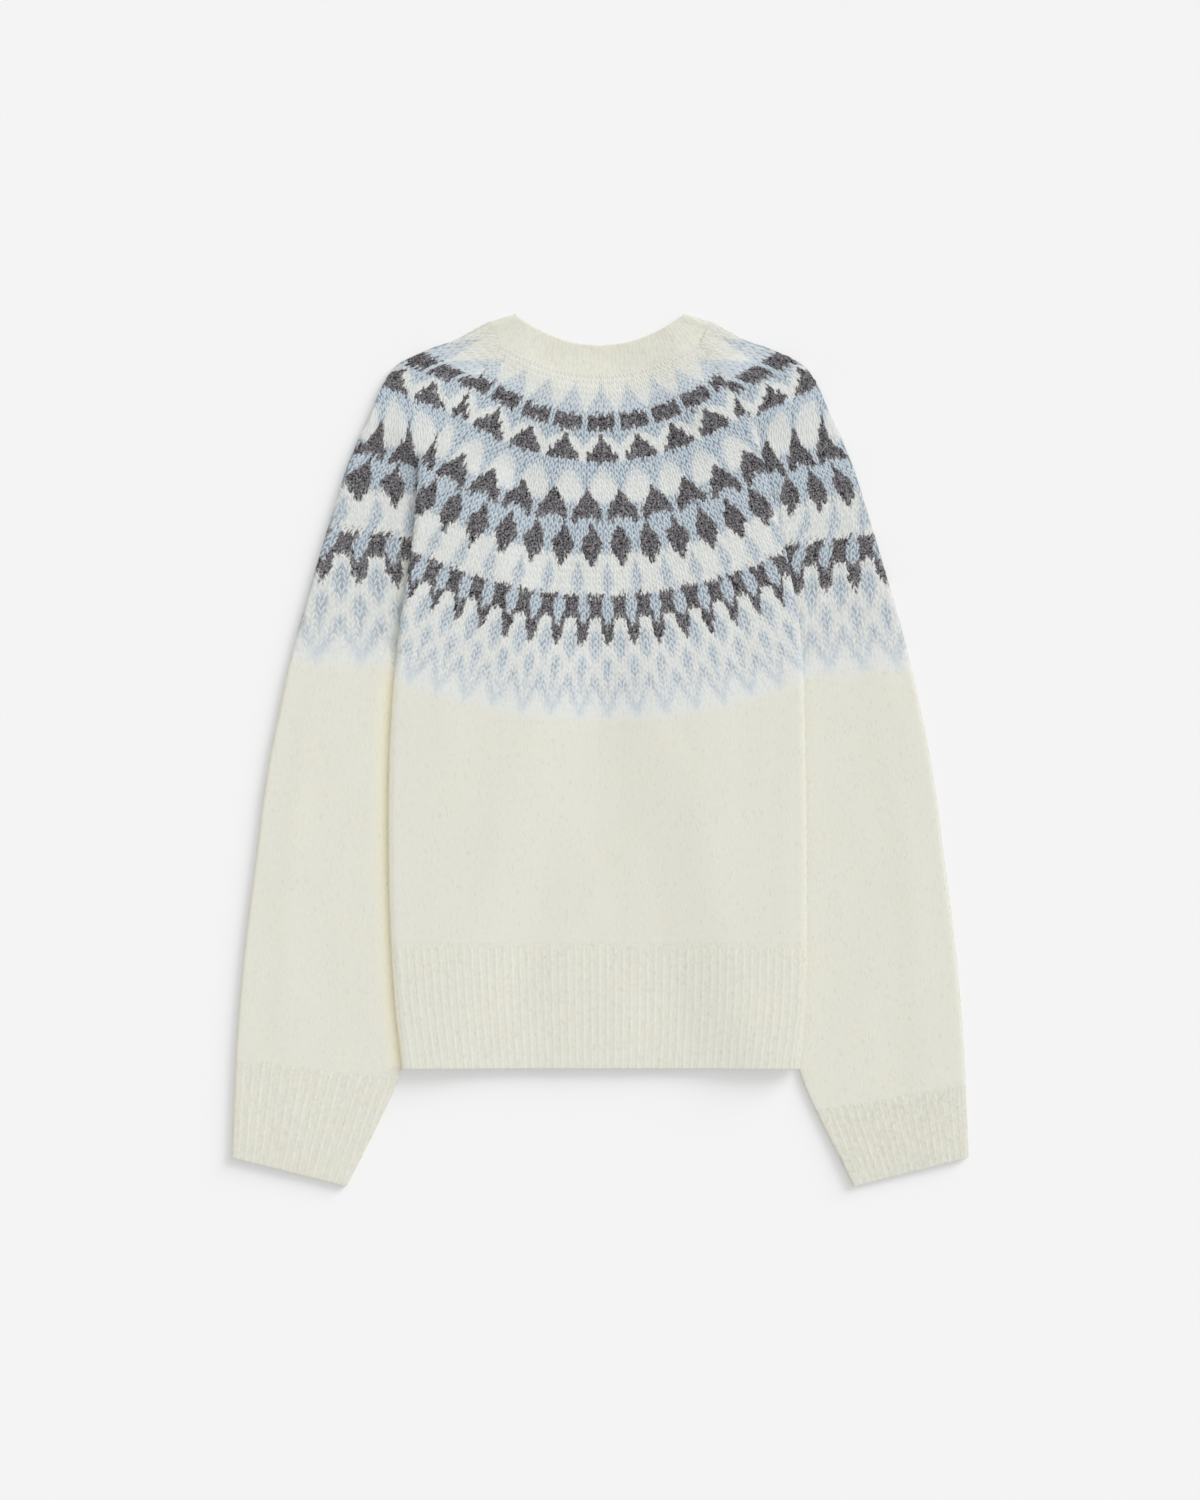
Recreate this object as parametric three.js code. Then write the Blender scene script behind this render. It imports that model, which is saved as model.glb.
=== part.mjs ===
// A round-yoke jacquard cardigan, laid flat with its back up.
// +X is the wearer's right, +Y the neck, +Z up; the floor is at z = 0, under the middle of the piece.
// The body's sides are folded under, and the sleeves come out beneath them and lie along the body.
import * as THREE from 'three';

// ---- driving dimensions, mm -------------------------------------------------------------------
const WALL = 2.0; // thickness of the brushed knit
const LIE = 0.5; // air between two layers that lie on each other
const SEAM_PRESS = 0.45; // share of its thickness that the cloth keeps at a pressed side or raglan seam
const SEAM = 0.3; // gap between two pieces at a seam
const PLY = WALL + LIE; // from the middle of one layer to the middle of the next
const FLOOR_PLY = WALL / 2; // middle of a layer that lies on the floor
const TURN_BACK = 1.54 * PLY; // radius of the back's turn at the body's fold, round the front's
const TURN_FRONT = 0.5 * PLY; // radius of the front's turn inside it
const STACK = 4 * PLY; // two body layers and two sleeve layers under the body's fold
const EDGE_ROLL = 2.2; // radius of the sleeve's soft outer fold
const CUFF_ROLL = 1.8; // radius of the cuff's inner fold at its hem

// Neck seam: its height at the middle, and where it meets the raglan seam.
const NECK_LEVEL = {
  back: { middle: 290, edge: 312 },
  front: { middle: 240, edge: 299 },
};
const RAGLAN_TOP = { x: 75.5, y: NECK_LEVEL.back.edge };
const UNDERARM = { x: 246, y: 66 }; // underarm end of the raglan seam, on the cut pattern
const HEM_SEAM = -148;
const HEM_END = -244.5;

const FOLD_START = { left: 228, right: 254 }; // where each side of the body begins to fold under
// How softly each layer comes down off what lies under it: length above the start of the fold,
// plateau kept inside the edge underneath, and width of the slope inward of that. The back spans
// more than the front, so it stays clear of it.
const EASE = {
  front: { rise: 60, ramp: 40, margin: 15 },
  back: { rise: 95, ramp: 60, margin: 21 },
  flap: { rise: 60, ramp: 40, margin: 18 },
};
const TUCK_START = 0.6; // straight cloth between a raglan seam and the turn of the sleeve
const RAGLAN_GAP = 0.55; // gap at the raglan seams, where both edges twist as they turn

const BAND_WIDTH = 28;
const BAND_TOP = 261;
const BAND_SPREAD = 21; // width over which a front rises to its band
const BUTTON_COUNT = 7;
const BUTTON_FIRST = 246;
const BUTTON_PITCH = 80;
const BUTTON_RADIUS = 7.5;
const BUTTON_THICK = 2.0;
const BUTTON_EDGE = 0.5;
const BUTTON_SIDES = 12;
const SHANK_RADIUS = 1.2;
const HOLE_WIDTH = 3.4;
const HOLE_LENGTH = 15;
const HOLE_BAND_Z = BUTTON_THICK + SEAM + WALL / 2;
const BUTTON_BAND_Z = HOLE_BAND_Z + PLY;
const RIDGE = { full: 20, end: 74, fade: 28, top: 304 }; // the back's soft rise over the bands
const NECK_HOLE = { x: 64, y: 38, centre: 310, from: 0.4, to: 0.95 }; // no front under the back here
const NECK_GAP = 0.5; // gap at the neck seam, whose two edges bow a little differently

const CUFF = {
  left: { outY: -238, inY: -253 },
  right: { outY: -257, inY: -277 },
  endOutY: -313,
  endInY: -335.3,
};

// Distance of each fold of the body from the centre line.
const FOLD = [
  { y: 300, left: 136, right: 108 },
  { y: 226, left: 138.6, right: 124.4 },
  { y: 157, left: 144.4, right: 141.3 },
  { y: 83, left: 155.5, right: 154.8 },
  { y: 0, left: 161.7, right: 158.2 },
  { y: -107, left: 162, right: 159.4 },
  { y: -190, left: 157.9, right: 158.6 },
  { y: -245, left: 152, right: 154 },
];

// Half-width of the body's cut pattern below the underarm.
const SIDE_SEAM = [
  { y: 66, x: 246 },
  { y: -40, x: 245 },
  { y: -148, x: 232 },
  { y: -190, x: 217 },
  { y: -245, x: 208 },
];

// Sleeve above the underarm: outer fold, and height of each raglan seam across from it. The rows
// are closest where that side of the body begins to fold under.
const SLEEVE_CAP = [
  { outX: 84.7, outY: 330, left: 312, right: 312 },
  { outX: 111.7, outY: 315.5, left: 291, right: 289 },
  { outX: 131.7, outY: 308.4, left: 272, right: 271 },
  { outX: 156.3, outY: 296.1, left: 254, right: 258 },
  { outX: 167.1, outY: 280.7, left: 241, right: 252.5 },
  { outX: 172.3, outY: 269.5, left: 232, right: 247.5 },
  { outX: 177.1, outY: 258.3, left: 226.5, right: 242.5 },
  { outX: 181.2, outY: 249, left: 221.5, right: 238 },
  { outX: 185.6, outY: 239.9, left: 216.5, right: 233 },
  { outX: 190.4, outY: 228, left: 210.5, right: 219 },
  { outX: 195.6, outY: 215.2, left: 197, right: 198 },
  { outX: 207.9, outY: 175.9, left: 167, right: 167 },
  { outX: 219.5, outY: 136.7, left: 132, right: 132 },
  { outX: 232.5, outY: 91.2, left: 96, right: 96 },
  { outX: 241.1, outY: 58, left: 66, right: 66 },
];

// Outer fold of the sleeve and cuff below the underarm.
const SLEEVE_OUTER = [
  { y: 91, x: 232.5 },
  { y: 50, x: 243.3 },
  { y: -25, x: 257.2 },
  { y: -80, x: 264.3 },
  { y: -135, x: 271.4 },
  { y: -190, x: 277 },
  { y: -239, x: 280.4 },
  { y: -313, x: 283.4 },
];

// Inner fold of the sleeve and cuff, under the body down to the hem.
const SLEEVE_INNER = [
  { y: 66, x: 68.7 },
  { y: -93.5, x: 111.7 },
  { y: -230, x: 148.4 },
  { y: -253, x: 155.2 },
  { y: -277, x: 165.6 },
  { y: -335.3, x: 194.8 },
];

// Free edge of the neckband from the shoulder turn to the middle, on the back and on the fronts,
// and how much of the shoulder's roll the band still has there.
const NECK_FREE = {
  back: [
    { x: 67, y: 336.2, roll: 1 },
    { x: 56, y: 329, roll: 0.3 },
    { x: 42, y: 321.5, roll: 0 },
    { x: 22, y: 314.3, roll: 0 },
    { x: 0, y: 311.5, roll: 0 },
  ],
  front: [
    { x: 67, y: 336.2, roll: 0 },
    { x: 64.5, y: 306, roll: 0 },
    { x: 52, y: 281, roll: 0 },
    { x: 34, y: 268, roll: 0 },
    { x: 14.3, y: 261, roll: 0 },
  ],
};

const CREAM = 0xdedfd3;
const YOKE_WHITE = 0xd6dbdb;
const BUTTON_COLOUR = 0xcfc6b4;

// ---- small helpers ----------------------------------------------------------------------------
const SIDES = { left: -1, right: 1 };

function smooth(t) {
  const c = Math.min(1, Math.max(0, t));
  return c * c * (3 - 2 * c);
}

function mix(a, b, t) {
  return a + (b - a) * t;
}

// Value of one column of a table at `at`, on a smooth curve through the rows.
function along(table, key, column, at) {
  const rows = table[0][key] < table[table.length - 1][key] ? table : [...table].reverse();
  let i = 0;
  while (i < rows.length - 2 && at > rows[i + 1][key]) i += 1;
  const a = rows[i];
  const b = rows[i + 1];
  const before = rows[Math.max(i - 1, 0)];
  const after = rows[Math.min(i + 2, rows.length - 1)];
  const span = b[key] - a[key];
  const slopeA = ((b[column] - before[column]) / (b[key] - before[key])) * span;
  const slopeB = ((after[column] - a[column]) / (after[key] - a[key])) * span;
  const t = Math.min(1, Math.max(0, (at - a[key]) / span));
  const t2 = t * t;
  const t3 = t2 * t;
  return (2 * t3 - 3 * t2 + 1) * a[column] + (t3 - 2 * t2 + t) * slopeA
    + (-2 * t3 + 3 * t2) * b[column] + (t3 - t2) * slopeB;
}

// The same along the rows themselves, with `at` from 0 to 1.
function station(table, column, at) {
  const numbered = table.map((row, i) => ({ place: i / (table.length - 1), value: row[column] }));
  return along(numbered, 'place', 'value', at);
}

// A closed wall of WALL thickness round a grid of points on its middle surface. `press` holds the
// first and last column's share of the thickness, and `solid(i, j)` says whether the cell between
// rows i, i+1 and columns j, j+1 is cloth.
function wall(grid, press = [1, 1], solid = () => true) {
  const rows = grid.length;
  const columns = grid[0].length;
  const positions = [];
  const at = (i, j) => grid[Math.min(rows - 1, Math.max(0, i))][Math.min(columns - 1, Math.max(0, j))];
  for (const face of [1, -1]) {
    for (let i = 0; i < rows; i += 1) {
      for (let j = 0; j < columns; j += 1) {
        const across = new THREE.Vector3().subVectors(at(i, j + 1), at(i, j - 1));
        const down = new THREE.Vector3().subVectors(at(i + 1, j), at(i - 1, j)).setZ(0);
        const normal = new THREE.Vector3().crossVectors(down, across).normalize();
        const kept = j === 0 ? press[0] : j === columns - 1 ? press[1] : 1;
        const p = at(i, j).clone().addScaledVector(normal, face * kept * WALL / 2);
        positions.push(p.x, p.y, p.z);
      }
    }
  }
  const outer = (i, j) => i * columns + j;
  const inner = (i, j) => rows * columns + outer(i, j);
  const present = (i, j) => i >= 0 && j >= 0 && i < rows - 1 && j < columns - 1 && solid(i, j);
  const index = [];
  const quad = (a, b, c, d) => index.push(a, b, c, a, c, d);
  for (let i = 0; i < rows - 1; i += 1) {
    for (let j = 0; j < columns - 1; j += 1) {
      if (!present(i, j)) continue;
      quad(outer(i, j), outer(i + 1, j), outer(i + 1, j + 1), outer(i, j + 1));
      quad(inner(i, j), inner(i, j + 1), inner(i + 1, j + 1), inner(i + 1, j));
      if (!present(i - 1, j)) quad(outer(i, j), outer(i, j + 1), inner(i, j + 1), inner(i, j));
      if (!present(i + 1, j)) {
        quad(outer(i + 1, j + 1), outer(i + 1, j), inner(i + 1, j), inner(i + 1, j + 1));
      }
      if (!present(i, j - 1)) quad(outer(i + 1, j), outer(i, j), inner(i, j), inner(i + 1, j));
      if (!present(i, j + 1)) {
        quad(outer(i, j + 1), outer(i + 1, j + 1), inner(i + 1, j + 1), inner(i, j + 1));
      }
    }
  }
  return closed(positions, index);
}

// Geometry from points and triangles, turned so that its faces point out.
function closed(positions, index) {
  let volume = 0;
  const point = (k) => new THREE.Vector3().fromArray(positions, 3 * k);
  for (let k = 0; k < index.length; k += 3) {
    volume += point(index[k]).dot(point(index[k + 1]).cross(point(index[k + 2])));
  }
  if (volume < 0) {
    for (let k = 0; k < index.length; k += 3) [index[k], index[k + 1]] = [index[k + 1], index[k]];
  }
  const geometry = new THREE.BufferGeometry();
  geometry.setAttribute('position', new THREE.Float32BufferAttribute(positions, 3));
  geometry.setIndex(index);
  geometry.computeVertexNormals();
  return geometry;
}

// ---- the cut of the body, and how it lies -----------------------------------------------------
function raglanX(y) {
  const slope = (UNDERARM.x - RAGLAN_TOP.x) / (RAGLAN_TOP.y - UNDERARM.y);
  return RAGLAN_TOP.x + (RAGLAN_TOP.y - y) * slope;
}

function cutHalfWidth(y) {
  return y > UNDERARM.y ? raglanX(y) : along(SIDE_SEAM, 'y', 'x', y);
}

// Distance from the centre line to the axis of the turn at the body's fold.
function foldAxis(side, y) {
  return along(FOLD, 'y', side, y) - WALL / 2 - TURN_BACK;
}

// Where the cut edge of the body comes to lie, seen from above.
function edgeLies(side, y) {
  const axis = foldAxis(side, y);
  const over = cutHalfWidth(y) - axis;
  if (over <= 0) return cutHalfWidth(y);
  if (over < Math.PI * TURN_BACK) return axis + TURN_BACK * Math.sin(over / TURN_BACK);
  return axis - (over - Math.PI * TURN_BACK);
}

function sleeveLies(side, y) {
  return y > UNDERARM.y ? edgeLies(side, y) : along(SLEEVE_INNER, 'y', 'x', y);
}

// 1 over what lies from `end` outward, falling to 0 inward of it.
function plateau(x, end, { ramp, margin }) {
  return smooth((x - (end - margin - ramp)) / ramp);
}

// Height that the folded layers and the sleeve give to what lies on them.
function underlay(side, layer, x, y) {
  const ease = EASE[layer];
  const folded = plateau(x, edgeLies(side, y), ease);
  const sleeve = plateau(x, sleeveLies(side, y), ease);
  return (STACK / 2) * (folded + sleeve) * smooth((FOLD_START[side] + ease.rise - y) / ease.rise);
}

function frontHeight(side, x, y) {
  const band = side === 'left' ? BUTTON_BAND_Z : HOLE_BAND_Z;
  const near = smooth((BAND_WIDTH / 2 + 1 + BAND_SPREAD - x) / BAND_SPREAD);
  return FLOOR_PLY + underlay(side, 'front', x, y) + (band - FLOOR_PLY) * near;
}

function backHeight(side, x, y) {
  const around = (x / NECK_HOLE.x) ** 2 + ((y - NECK_HOLE.centre) / NECK_HOLE.y) ** 2;
  const covered = smooth((around - NECK_HOLE.from) / (NECK_HOLE.to - NECK_HOLE.from));
  const ridge = smooth((RIDGE.end - x) / (RIDGE.end - RIDGE.full)) * smooth((RIDGE.top - y) / RIDGE.fade);
  const under = underlay(side, 'back', x, y);
  const bands = (BUTTON_BAND_Z - FLOOR_PLY) * ridge * (1 - under / STACK);
  return FLOOR_PLY + under + PLY * covered + bands;
}

// A point of the body, from its place on the cut pattern, x out from the centre line and y up it.
// `angle` is how far the cloth has turned under there, from 0 to PI.
function bodyPoint(side, layer, x, y) {
  const axis = foldAxis(side, y);
  const radius = layer === 'back' ? TURN_BACK : TURN_FRONT;
  const height = layer === 'back' ? backHeight : frontHeight;
  const over = x - axis;
  if (over <= 0) return { x, y, z: height(side, x, y), angle: 0 };
  const centre = backHeight(side, axis, y) - TURN_BACK;
  const turn = Math.PI * TURN_BACK;
  if (over < turn) {
    const angle = over / TURN_BACK;
    return { x: axis + radius * Math.sin(angle), y, z: centre + radius * Math.cos(angle), angle };
  }
  const lies = axis - (over - turn);
  const held = plateau(lies, sleeveLies(side, y), EASE.flap);
  return { x: lies, y, z: centre - radius - (STACK / 2) * (1 - held), angle: Math.PI };
}

// Places across the cut, close together where the fold is, from `start` to the cut edge.
const FLAT_STEPS = 5;
const TURN_STEPS = 5;
const FLAP_STEPS = 3;
const FLAP_LEAST = 3;

function placeAcross(side, y, start, step) {
  const turn = Math.PI * TURN_BACK;
  const end = cutHalfWidth(y);
  const turnFrom = Math.min(foldAxis(side, y), end - turn - FLAP_LEAST);
  if (step <= FLAT_STEPS) return mix(start, turnFrom, step / FLAT_STEPS);
  if (step <= FLAT_STEPS + TURN_STEPS) return turnFrom + turn * (step - FLAT_STEPS) / TURN_STEPS;
  return mix(turnFrom + turn, end, (step - FLAT_STEPS - TURN_STEPS) / FLAP_STEPS);
}
const ACROSS = FLAT_STEPS + TURN_STEPS + FLAP_STEPS;

// Height on the cut of a row that bows from `middle` at the centre line to `edge` at its end.
function bowed(level, x) {
  return mix(level.middle, level.edge, (x / cutHalfWidth(level.edge)) ** 2);
}

// One row of a body piece, from the centre line or its band out to its cut edge.
function bodyRow(side, layer, level) {
  const row = [];
  const bandEdge = BAND_WIDTH / 2 + SEAM;
  for (let step = layer === 'back' ? -1 : 0; step <= ACROSS; step += 1) {
    const x = step < 0 ? 0 : placeAcross(side, level.edge, bandEdge, step);
    const p = bodyPoint(side, layer, x, bowed(level, x));
    row.push(new THREE.Vector3(SIDES[side] * p.x, p.y, p.z));
  }
  return row;
}

const BODY_ROWS = 4;
const HEM_ROWS = 3;

// Rows of a body panel: each raglan row ends where a row of the sleeve begins, and both halves of
// the back share its height at the centre line.
function bodyLevels(side, layer) {
  const neck = NECK_LEVEL[layer];
  const levels = SLEEVE_CAP.map((cap, index) => {
    const t = (RAGLAN_TOP.y - (cap.left + cap.right) / 2) / (RAGLAN_TOP.y - UNDERARM.y);
    return { middle: mix(neck.middle, UNDERARM.y, t), edge: index === 0 ? neck.edge : cap[side] };
  });
  for (let i = 1; i <= BODY_ROWS; i += 1) {
    const y = mix(UNDERARM.y, HEM_SEAM + SEAM / 2, i / BODY_ROWS);
    levels.push({ middle: y, edge: y });
  }
  return levels;
}

function hemLevels() {
  const levels = [];
  for (let i = 0; i <= HEM_ROWS; i += 1) {
    const y = mix(HEM_SEAM - SEAM / 2, HEM_END, i / HEM_ROWS);
    levels.push({ middle: y, edge: y });
  }
  return levels;
}

function backGrid(levelsOf) {
  const left = levelsOf('left', 'back').map((level) => bodyRow('left', 'back', level));
  const right = levelsOf('right', 'back').map((level) => bodyRow('right', 'back', level));
  return left.map((row, i) => [...row.reverse(), ...right[i].slice(1)]);
}

function frontGrid(side, levelsOf) {
  const rows = levelsOf(side, 'front').map((level) => bodyRow(side, 'front', level));
  return side === 'left' ? rows.map((row) => row.reverse()) : rows;
}

// ---- sleeves ----------------------------------------------------------------------------------
const TUCK_STEPS = 4;
const TOP_STEPS = 4;
const ROLL_STEPS = 4;
const UNDER_STEPS = 2;
const TUCK_LEAST = 3;
const CLEAR_OF_BODY = 6; // the sleeve's top layer climbs only this far outside the body's fold
const SLEEVE_ROWS = 5;
const CUFF_ROWS = 3;

// The edge of a sleeve at the raglan seam: it carries on from the body's cut edge, and where the
// body has folded under it turns back by as much, about the same centre for both layers.
function tuckAtSeam(side, layer, seamY, out) {
  const end = bodyPoint(side, layer, cutHalfWidth(seamY), seamY);
  const radius = layer === 'back' ? TURN_FRONT : TURN_BACK;
  const straight = TUCK_LEAST * (1 - end.angle / Math.PI);
  const ahead = (distance) => ({
    x: end.x + distance * Math.cos(end.angle),
    y: seamY,
    z: end.z - distance * Math.sin(end.angle),
  });
  const turnFrom = ahead(RAGLAN_GAP + TUCK_START);
  const centreX = turnFrom.x + radius * Math.sin(end.angle);
  const centreZ = turnFrom.z + radius * Math.cos(end.angle);
  const points = [ahead(RAGLAN_GAP)];
  for (let j = 1; j <= TUCK_STEPS; j += 1) {
    const t = (j - 1) / (TUCK_STEPS - 1);
    const angle = end.angle * (1 - t);
    points.push({
      x: centreX - radius * Math.sin(angle) + out.x * straight * t,
      y: seamY + out.y * straight * t,
      z: Math.max(FLOOR_PLY, centreZ - radius * Math.cos(angle)),
    });
  }
  return points;
}

// The inner fold of a closed sleeve or cuff, from its underarm seam to the layer above or below.
function tuckInTube(inner, out, roll, sign) {
  const first = SEAM / 2 / roll;
  const points = [];
  for (let j = 0; j <= TUCK_STEPS; j += 1) {
    const angle = mix(first, Math.PI / 2, j / TUCK_STEPS);
    const along1 = roll * (1 - Math.cos(angle)) + WALL / 2;
    points.push({
      x: inner.x + out.x * along1,
      y: inner.y + out.y * along1,
      z: FLOOR_PLY + roll + sign * roll * Math.sin(angle),
    });
  }
  return points;
}

// One ring of a sleeve: inner edge, top layer, outer roll, under layer, inner edge.
function sleeveRow(side, outer, topTuck, underTuck, rise) {
  const top = topTuck[TUCK_STEPS];
  const under = underTuck[TUCK_STEPS];
  const reach = Math.hypot(outer.x - top.x, outer.y - top.y);
  const out = { x: (outer.x - top.x) / reach, y: (outer.y - top.y) / reach };
  const inset = EDGE_ROLL + WALL / 2;
  const axis = { x: outer.x - out.x * inset, y: outer.y - out.y * inset };
  const points = [...topTuck];
  for (let j = 1; j <= TOP_STEPS; j += 1) {
    const t = j / TOP_STEPS;
    const x = mix(top.x, axis.x, t);
    const climbed = rise === null ? smooth(t) : smooth((x - rise) / (axis.x - rise));
    points.push({ x, y: mix(top.y, axis.y, t), z: mix(top.z, FLOOR_PLY + 2 * EDGE_ROLL, climbed) });
  }
  for (let j = 1; j <= ROLL_STEPS; j += 1) {
    const angle = Math.PI * (0.5 - j / ROLL_STEPS);
    points.push({
      x: axis.x + out.x * EDGE_ROLL * Math.cos(angle),
      y: axis.y + out.y * EDGE_ROLL * Math.cos(angle),
      z: FLOOR_PLY + EDGE_ROLL + EDGE_ROLL * Math.sin(angle),
    });
  }
  for (let j = 1; j <= UNDER_STEPS; j += 1) {
    const t = 1 - (1 - j / UNDER_STEPS) ** 1.5;
    const x = mix(axis.x, under.x, t);
    const y = mix(axis.y, under.y, t);
    const near = smooth(1 - Math.hypot(x - under.x, y - under.y) / EASE.front.ramp);
    points.push({ x, y, z: mix(FLOOR_PLY, under.z, near) });
  }
  points.push(...underTuck.slice(0, TUCK_STEPS).reverse());
  return points.map((p) => new THREE.Vector3(SIDES[side] * p.x, p.y, p.z));
}

function capRow(side, cap, index) {
  const outer = { x: cap.outX, y: cap.outY };
  const seam = cap[side];
  const frontSeam = index === 0 ? NECK_LEVEL.front.edge : seam;
  const end = { x: edgeLies(side, seam), y: seam };
  const reach = Math.hypot(outer.x - end.x, outer.y - end.y);
  const out = { x: (outer.x - end.x) / reach, y: (outer.y - end.y) / reach };
  const folded = cutHalfWidth(seam) > foldAxis(side, seam) + TURN_BACK;
  const rise = folded ? along(FOLD, 'y', side, seam) + CLEAR_OF_BODY : null;
  const topTuck = tuckAtSeam(side, 'back', seam, out);
  const underTuck = tuckAtSeam(side, 'front', frontSeam, out);
  return sleeveRow(side, outer, topTuck, underTuck, rise);
}

function underarmRow(side, cap) {
  const outer = { x: cap.outX, y: cap.outY };
  const x = edgeLies(side, UNDERARM.y);
  const straight = (z) => {
    const points = [];
    for (let j = 0; j <= TUCK_STEPS; j += 1) {
      points.push({ x: x + TUCK_LEAST * j / TUCK_STEPS, y: UNDERARM.y, z });
    }
    return points;
  };
  const rise = along(FOLD, 'y', side, UNDERARM.y) + CLEAR_OF_BODY;
  return sleeveRow(side, outer, straight(FLOOR_PLY + PLY), straight(FLOOR_PLY), rise);
}

function tubeRow(side, outY, inY, roll) {
  const outer = { x: along(SLEEVE_OUTER, 'y', 'x', outY), y: outY };
  const inner = { x: along(SLEEVE_INNER, 'y', 'x', inY), y: inY };
  const reach = Math.hypot(outer.x - inner.x, outer.y - inner.y);
  const out = { x: (outer.x - inner.x) / reach, y: (outer.y - inner.y) / reach };
  const rise = inY > HEM_END ? along(FOLD, 'y', side, inY) + CLEAR_OF_BODY : null;
  const topTuck = tuckInTube(inner, out, roll, 1);
  const underTuck = tuckInTube(inner, out, roll, -1);
  return sleeveRow(side, outer, topTuck, underTuck, rise);
}

function sleeveGrid(side) {
  const grid = SLEEVE_CAP.slice(0, -1).map((cap, index) => capRow(side, cap, index));
  const underarm = SLEEVE_CAP[SLEEVE_CAP.length - 1];
  grid.push(underarmRow(side, underarm));
  const cuff = CUFF[side];
  for (let i = 1; i <= SLEEVE_ROWS; i += 1) {
    const t = i / SLEEVE_ROWS;
    grid.push(tubeRow(side, mix(underarm.outY, cuff.outY, t), mix(UNDERARM.y, cuff.inY, t), TURN_FRONT));
  }
  return grid;
}

function cuffGrid(side) {
  const cuff = CUFF[side];
  const grid = [];
  for (let i = 0; i <= CUFF_ROWS; i += 1) {
    const t = i / CUFF_ROWS;
    const outY = mix(cuff.outY - SEAM, CUFF.endOutY, t);
    const inY = mix(cuff.inY - SEAM, CUFF.endInY, t);
    grid.push(tubeRow(side, outY, inY, mix(TURN_FRONT, CUFF_ROLL, smooth(t))));
  }
  return grid;
}

// ---- neckband ---------------------------------------------------------------------------------
const NECK_STEPS = 10;
const NECK_CORNER = 0.2; // the raglan seam's share of the way from the shoulder turn to the middle
const NECK_ROWS = 2;

// Seam edge of the neckband, from the shoulder turn along the sleeve, then along the panel.
function neckSeam(layer, at) {
  const level = NECK_LEVEL[layer];
  const corner = cutHalfWidth(level.edge);
  if (at < NECK_CORNER) {
    const shoulder = SLEEVE_CAP[0];
    const t = at / NECK_CORNER;
    return { x: mix(shoulder.outX, corner, t), y: mix(shoulder.outY, level.edge, t) };
  }
  const middle = layer === 'back' ? 0 : BAND_WIDTH / 2 + SEAM;
  const x = mix(corner, middle, (at - NECK_CORNER) / (1 - NECK_CORNER));
  return { x, y: bowed(level, x) };
}

// One column of the neckband, from its seam edge to its free edge, seen from above.
function neckColumn(layer, at) {
  const seam = neckSeam(layer, at);
  const free = { x: station(NECK_FREE[layer], 'x', at), y: station(NECK_FREE[layer], 'y', at) };
  const width = Math.hypot(free.x - seam.x, free.y - seam.y);
  const column = [];
  for (let i = 0; i <= NECK_ROWS; i += 1) {
    const t = mix(NECK_GAP / width, 1, i / NECK_ROWS);
    column.push({ x: mix(seam.x, free.x, t), y: mix(seam.y, free.y, t) });
  }
  return column;
}

function neckHalf(side) {
  const rollTop = FLOOR_PLY + 2 * EDGE_ROLL;
  const columns = [];
  for (let k = NECK_STEPS; k >= 1; k -= 1) {
    const column = neckColumn('front', k / NECK_STEPS);
    columns.push(column.map(({ x, y }) => ({ x, y, z: frontHeight(side, x, y) })));
  }
  const turn = neckColumn('back', 0);
  const last = turn[NECK_ROWS];
  const length = Math.hypot(turn[0].x - last.x, turn[0].y - last.y);
  const away = { x: (last.y - turn[0].y) / length, y: (turn[0].x - last.x) / length };
  for (let k = 0; k <= ROLL_STEPS; k += 1) {
    const angle = Math.PI * (k / ROLL_STEPS - 0.5);
    const reach = EDGE_ROLL * (Math.cos(angle) - 1) - WALL / 2;
    const z = FLOOR_PLY + EDGE_ROLL * (1 + Math.sin(angle));
    columns.push(turn.map(({ x, y }) => ({ x: x + away.x * reach, y: y + away.y * reach, z })));
  }
  for (let k = 1; k <= NECK_STEPS; k += 1) {
    const at = k / NECK_STEPS;
    const rolled = smooth(station(NECK_FREE.back, 'roll', at));
    columns.push(neckColumn('back', at).map(({ x, y }) => (
      { x, y, z: mix(backHeight(side, x, y), rollTop, rolled) })));
  }
  return columns.map((column) => (
    column.map((p) => new THREE.Vector3(SIDES[side] * p.x, p.y, p.z))));
}

function neckbandGrid() {
  const right = neckHalf('right').reverse();
  const columns = [...neckHalf('left'), ...right.slice(1)];
  return columns[0].map((_, i) => columns.map((column) => column[i]));
}

// ---- front bands and buttons ------------------------------------------------------------------
function bandGrid(z, levels, places) {
  return levels.map((y) => places.map((x) => new THREE.Vector3(x, y, z)));
}

function buttonHeights() {
  const heights = [];
  for (let i = 0; i < BUTTON_COUNT; i += 1) heights.push(BUTTON_FIRST - i * BUTTON_PITCH);
  return heights;
}

function buttonBand() {
  const half = BAND_WIDTH / 2;
  const levels = [];
  for (let i = 0; i <= BUTTON_COUNT * 2; i += 1) {
    levels.push(mix(BAND_TOP, HEM_END, i / (BUTTON_COUNT * 2)));
  }
  return wall(bandGrid(BUTTON_BAND_Z, levels, [-half, 0, half]));
}

function buttonholeBand() {
  const half = BAND_WIDTH / 2;
  const slit = HOLE_WIDTH / 2;
  const levels = [BAND_TOP];
  for (const y of buttonHeights()) levels.push(y + HOLE_LENGTH / 2, y - HOLE_LENGTH / 2);
  levels.push(HEM_END);
  const isCloth = (i, j) => !(i % 2 === 1 && j === 1);
  return wall(bandGrid(HOLE_BAND_Z, levels, [-half, -slit, slit, half]), [1, 1], isCloth);
}

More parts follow.
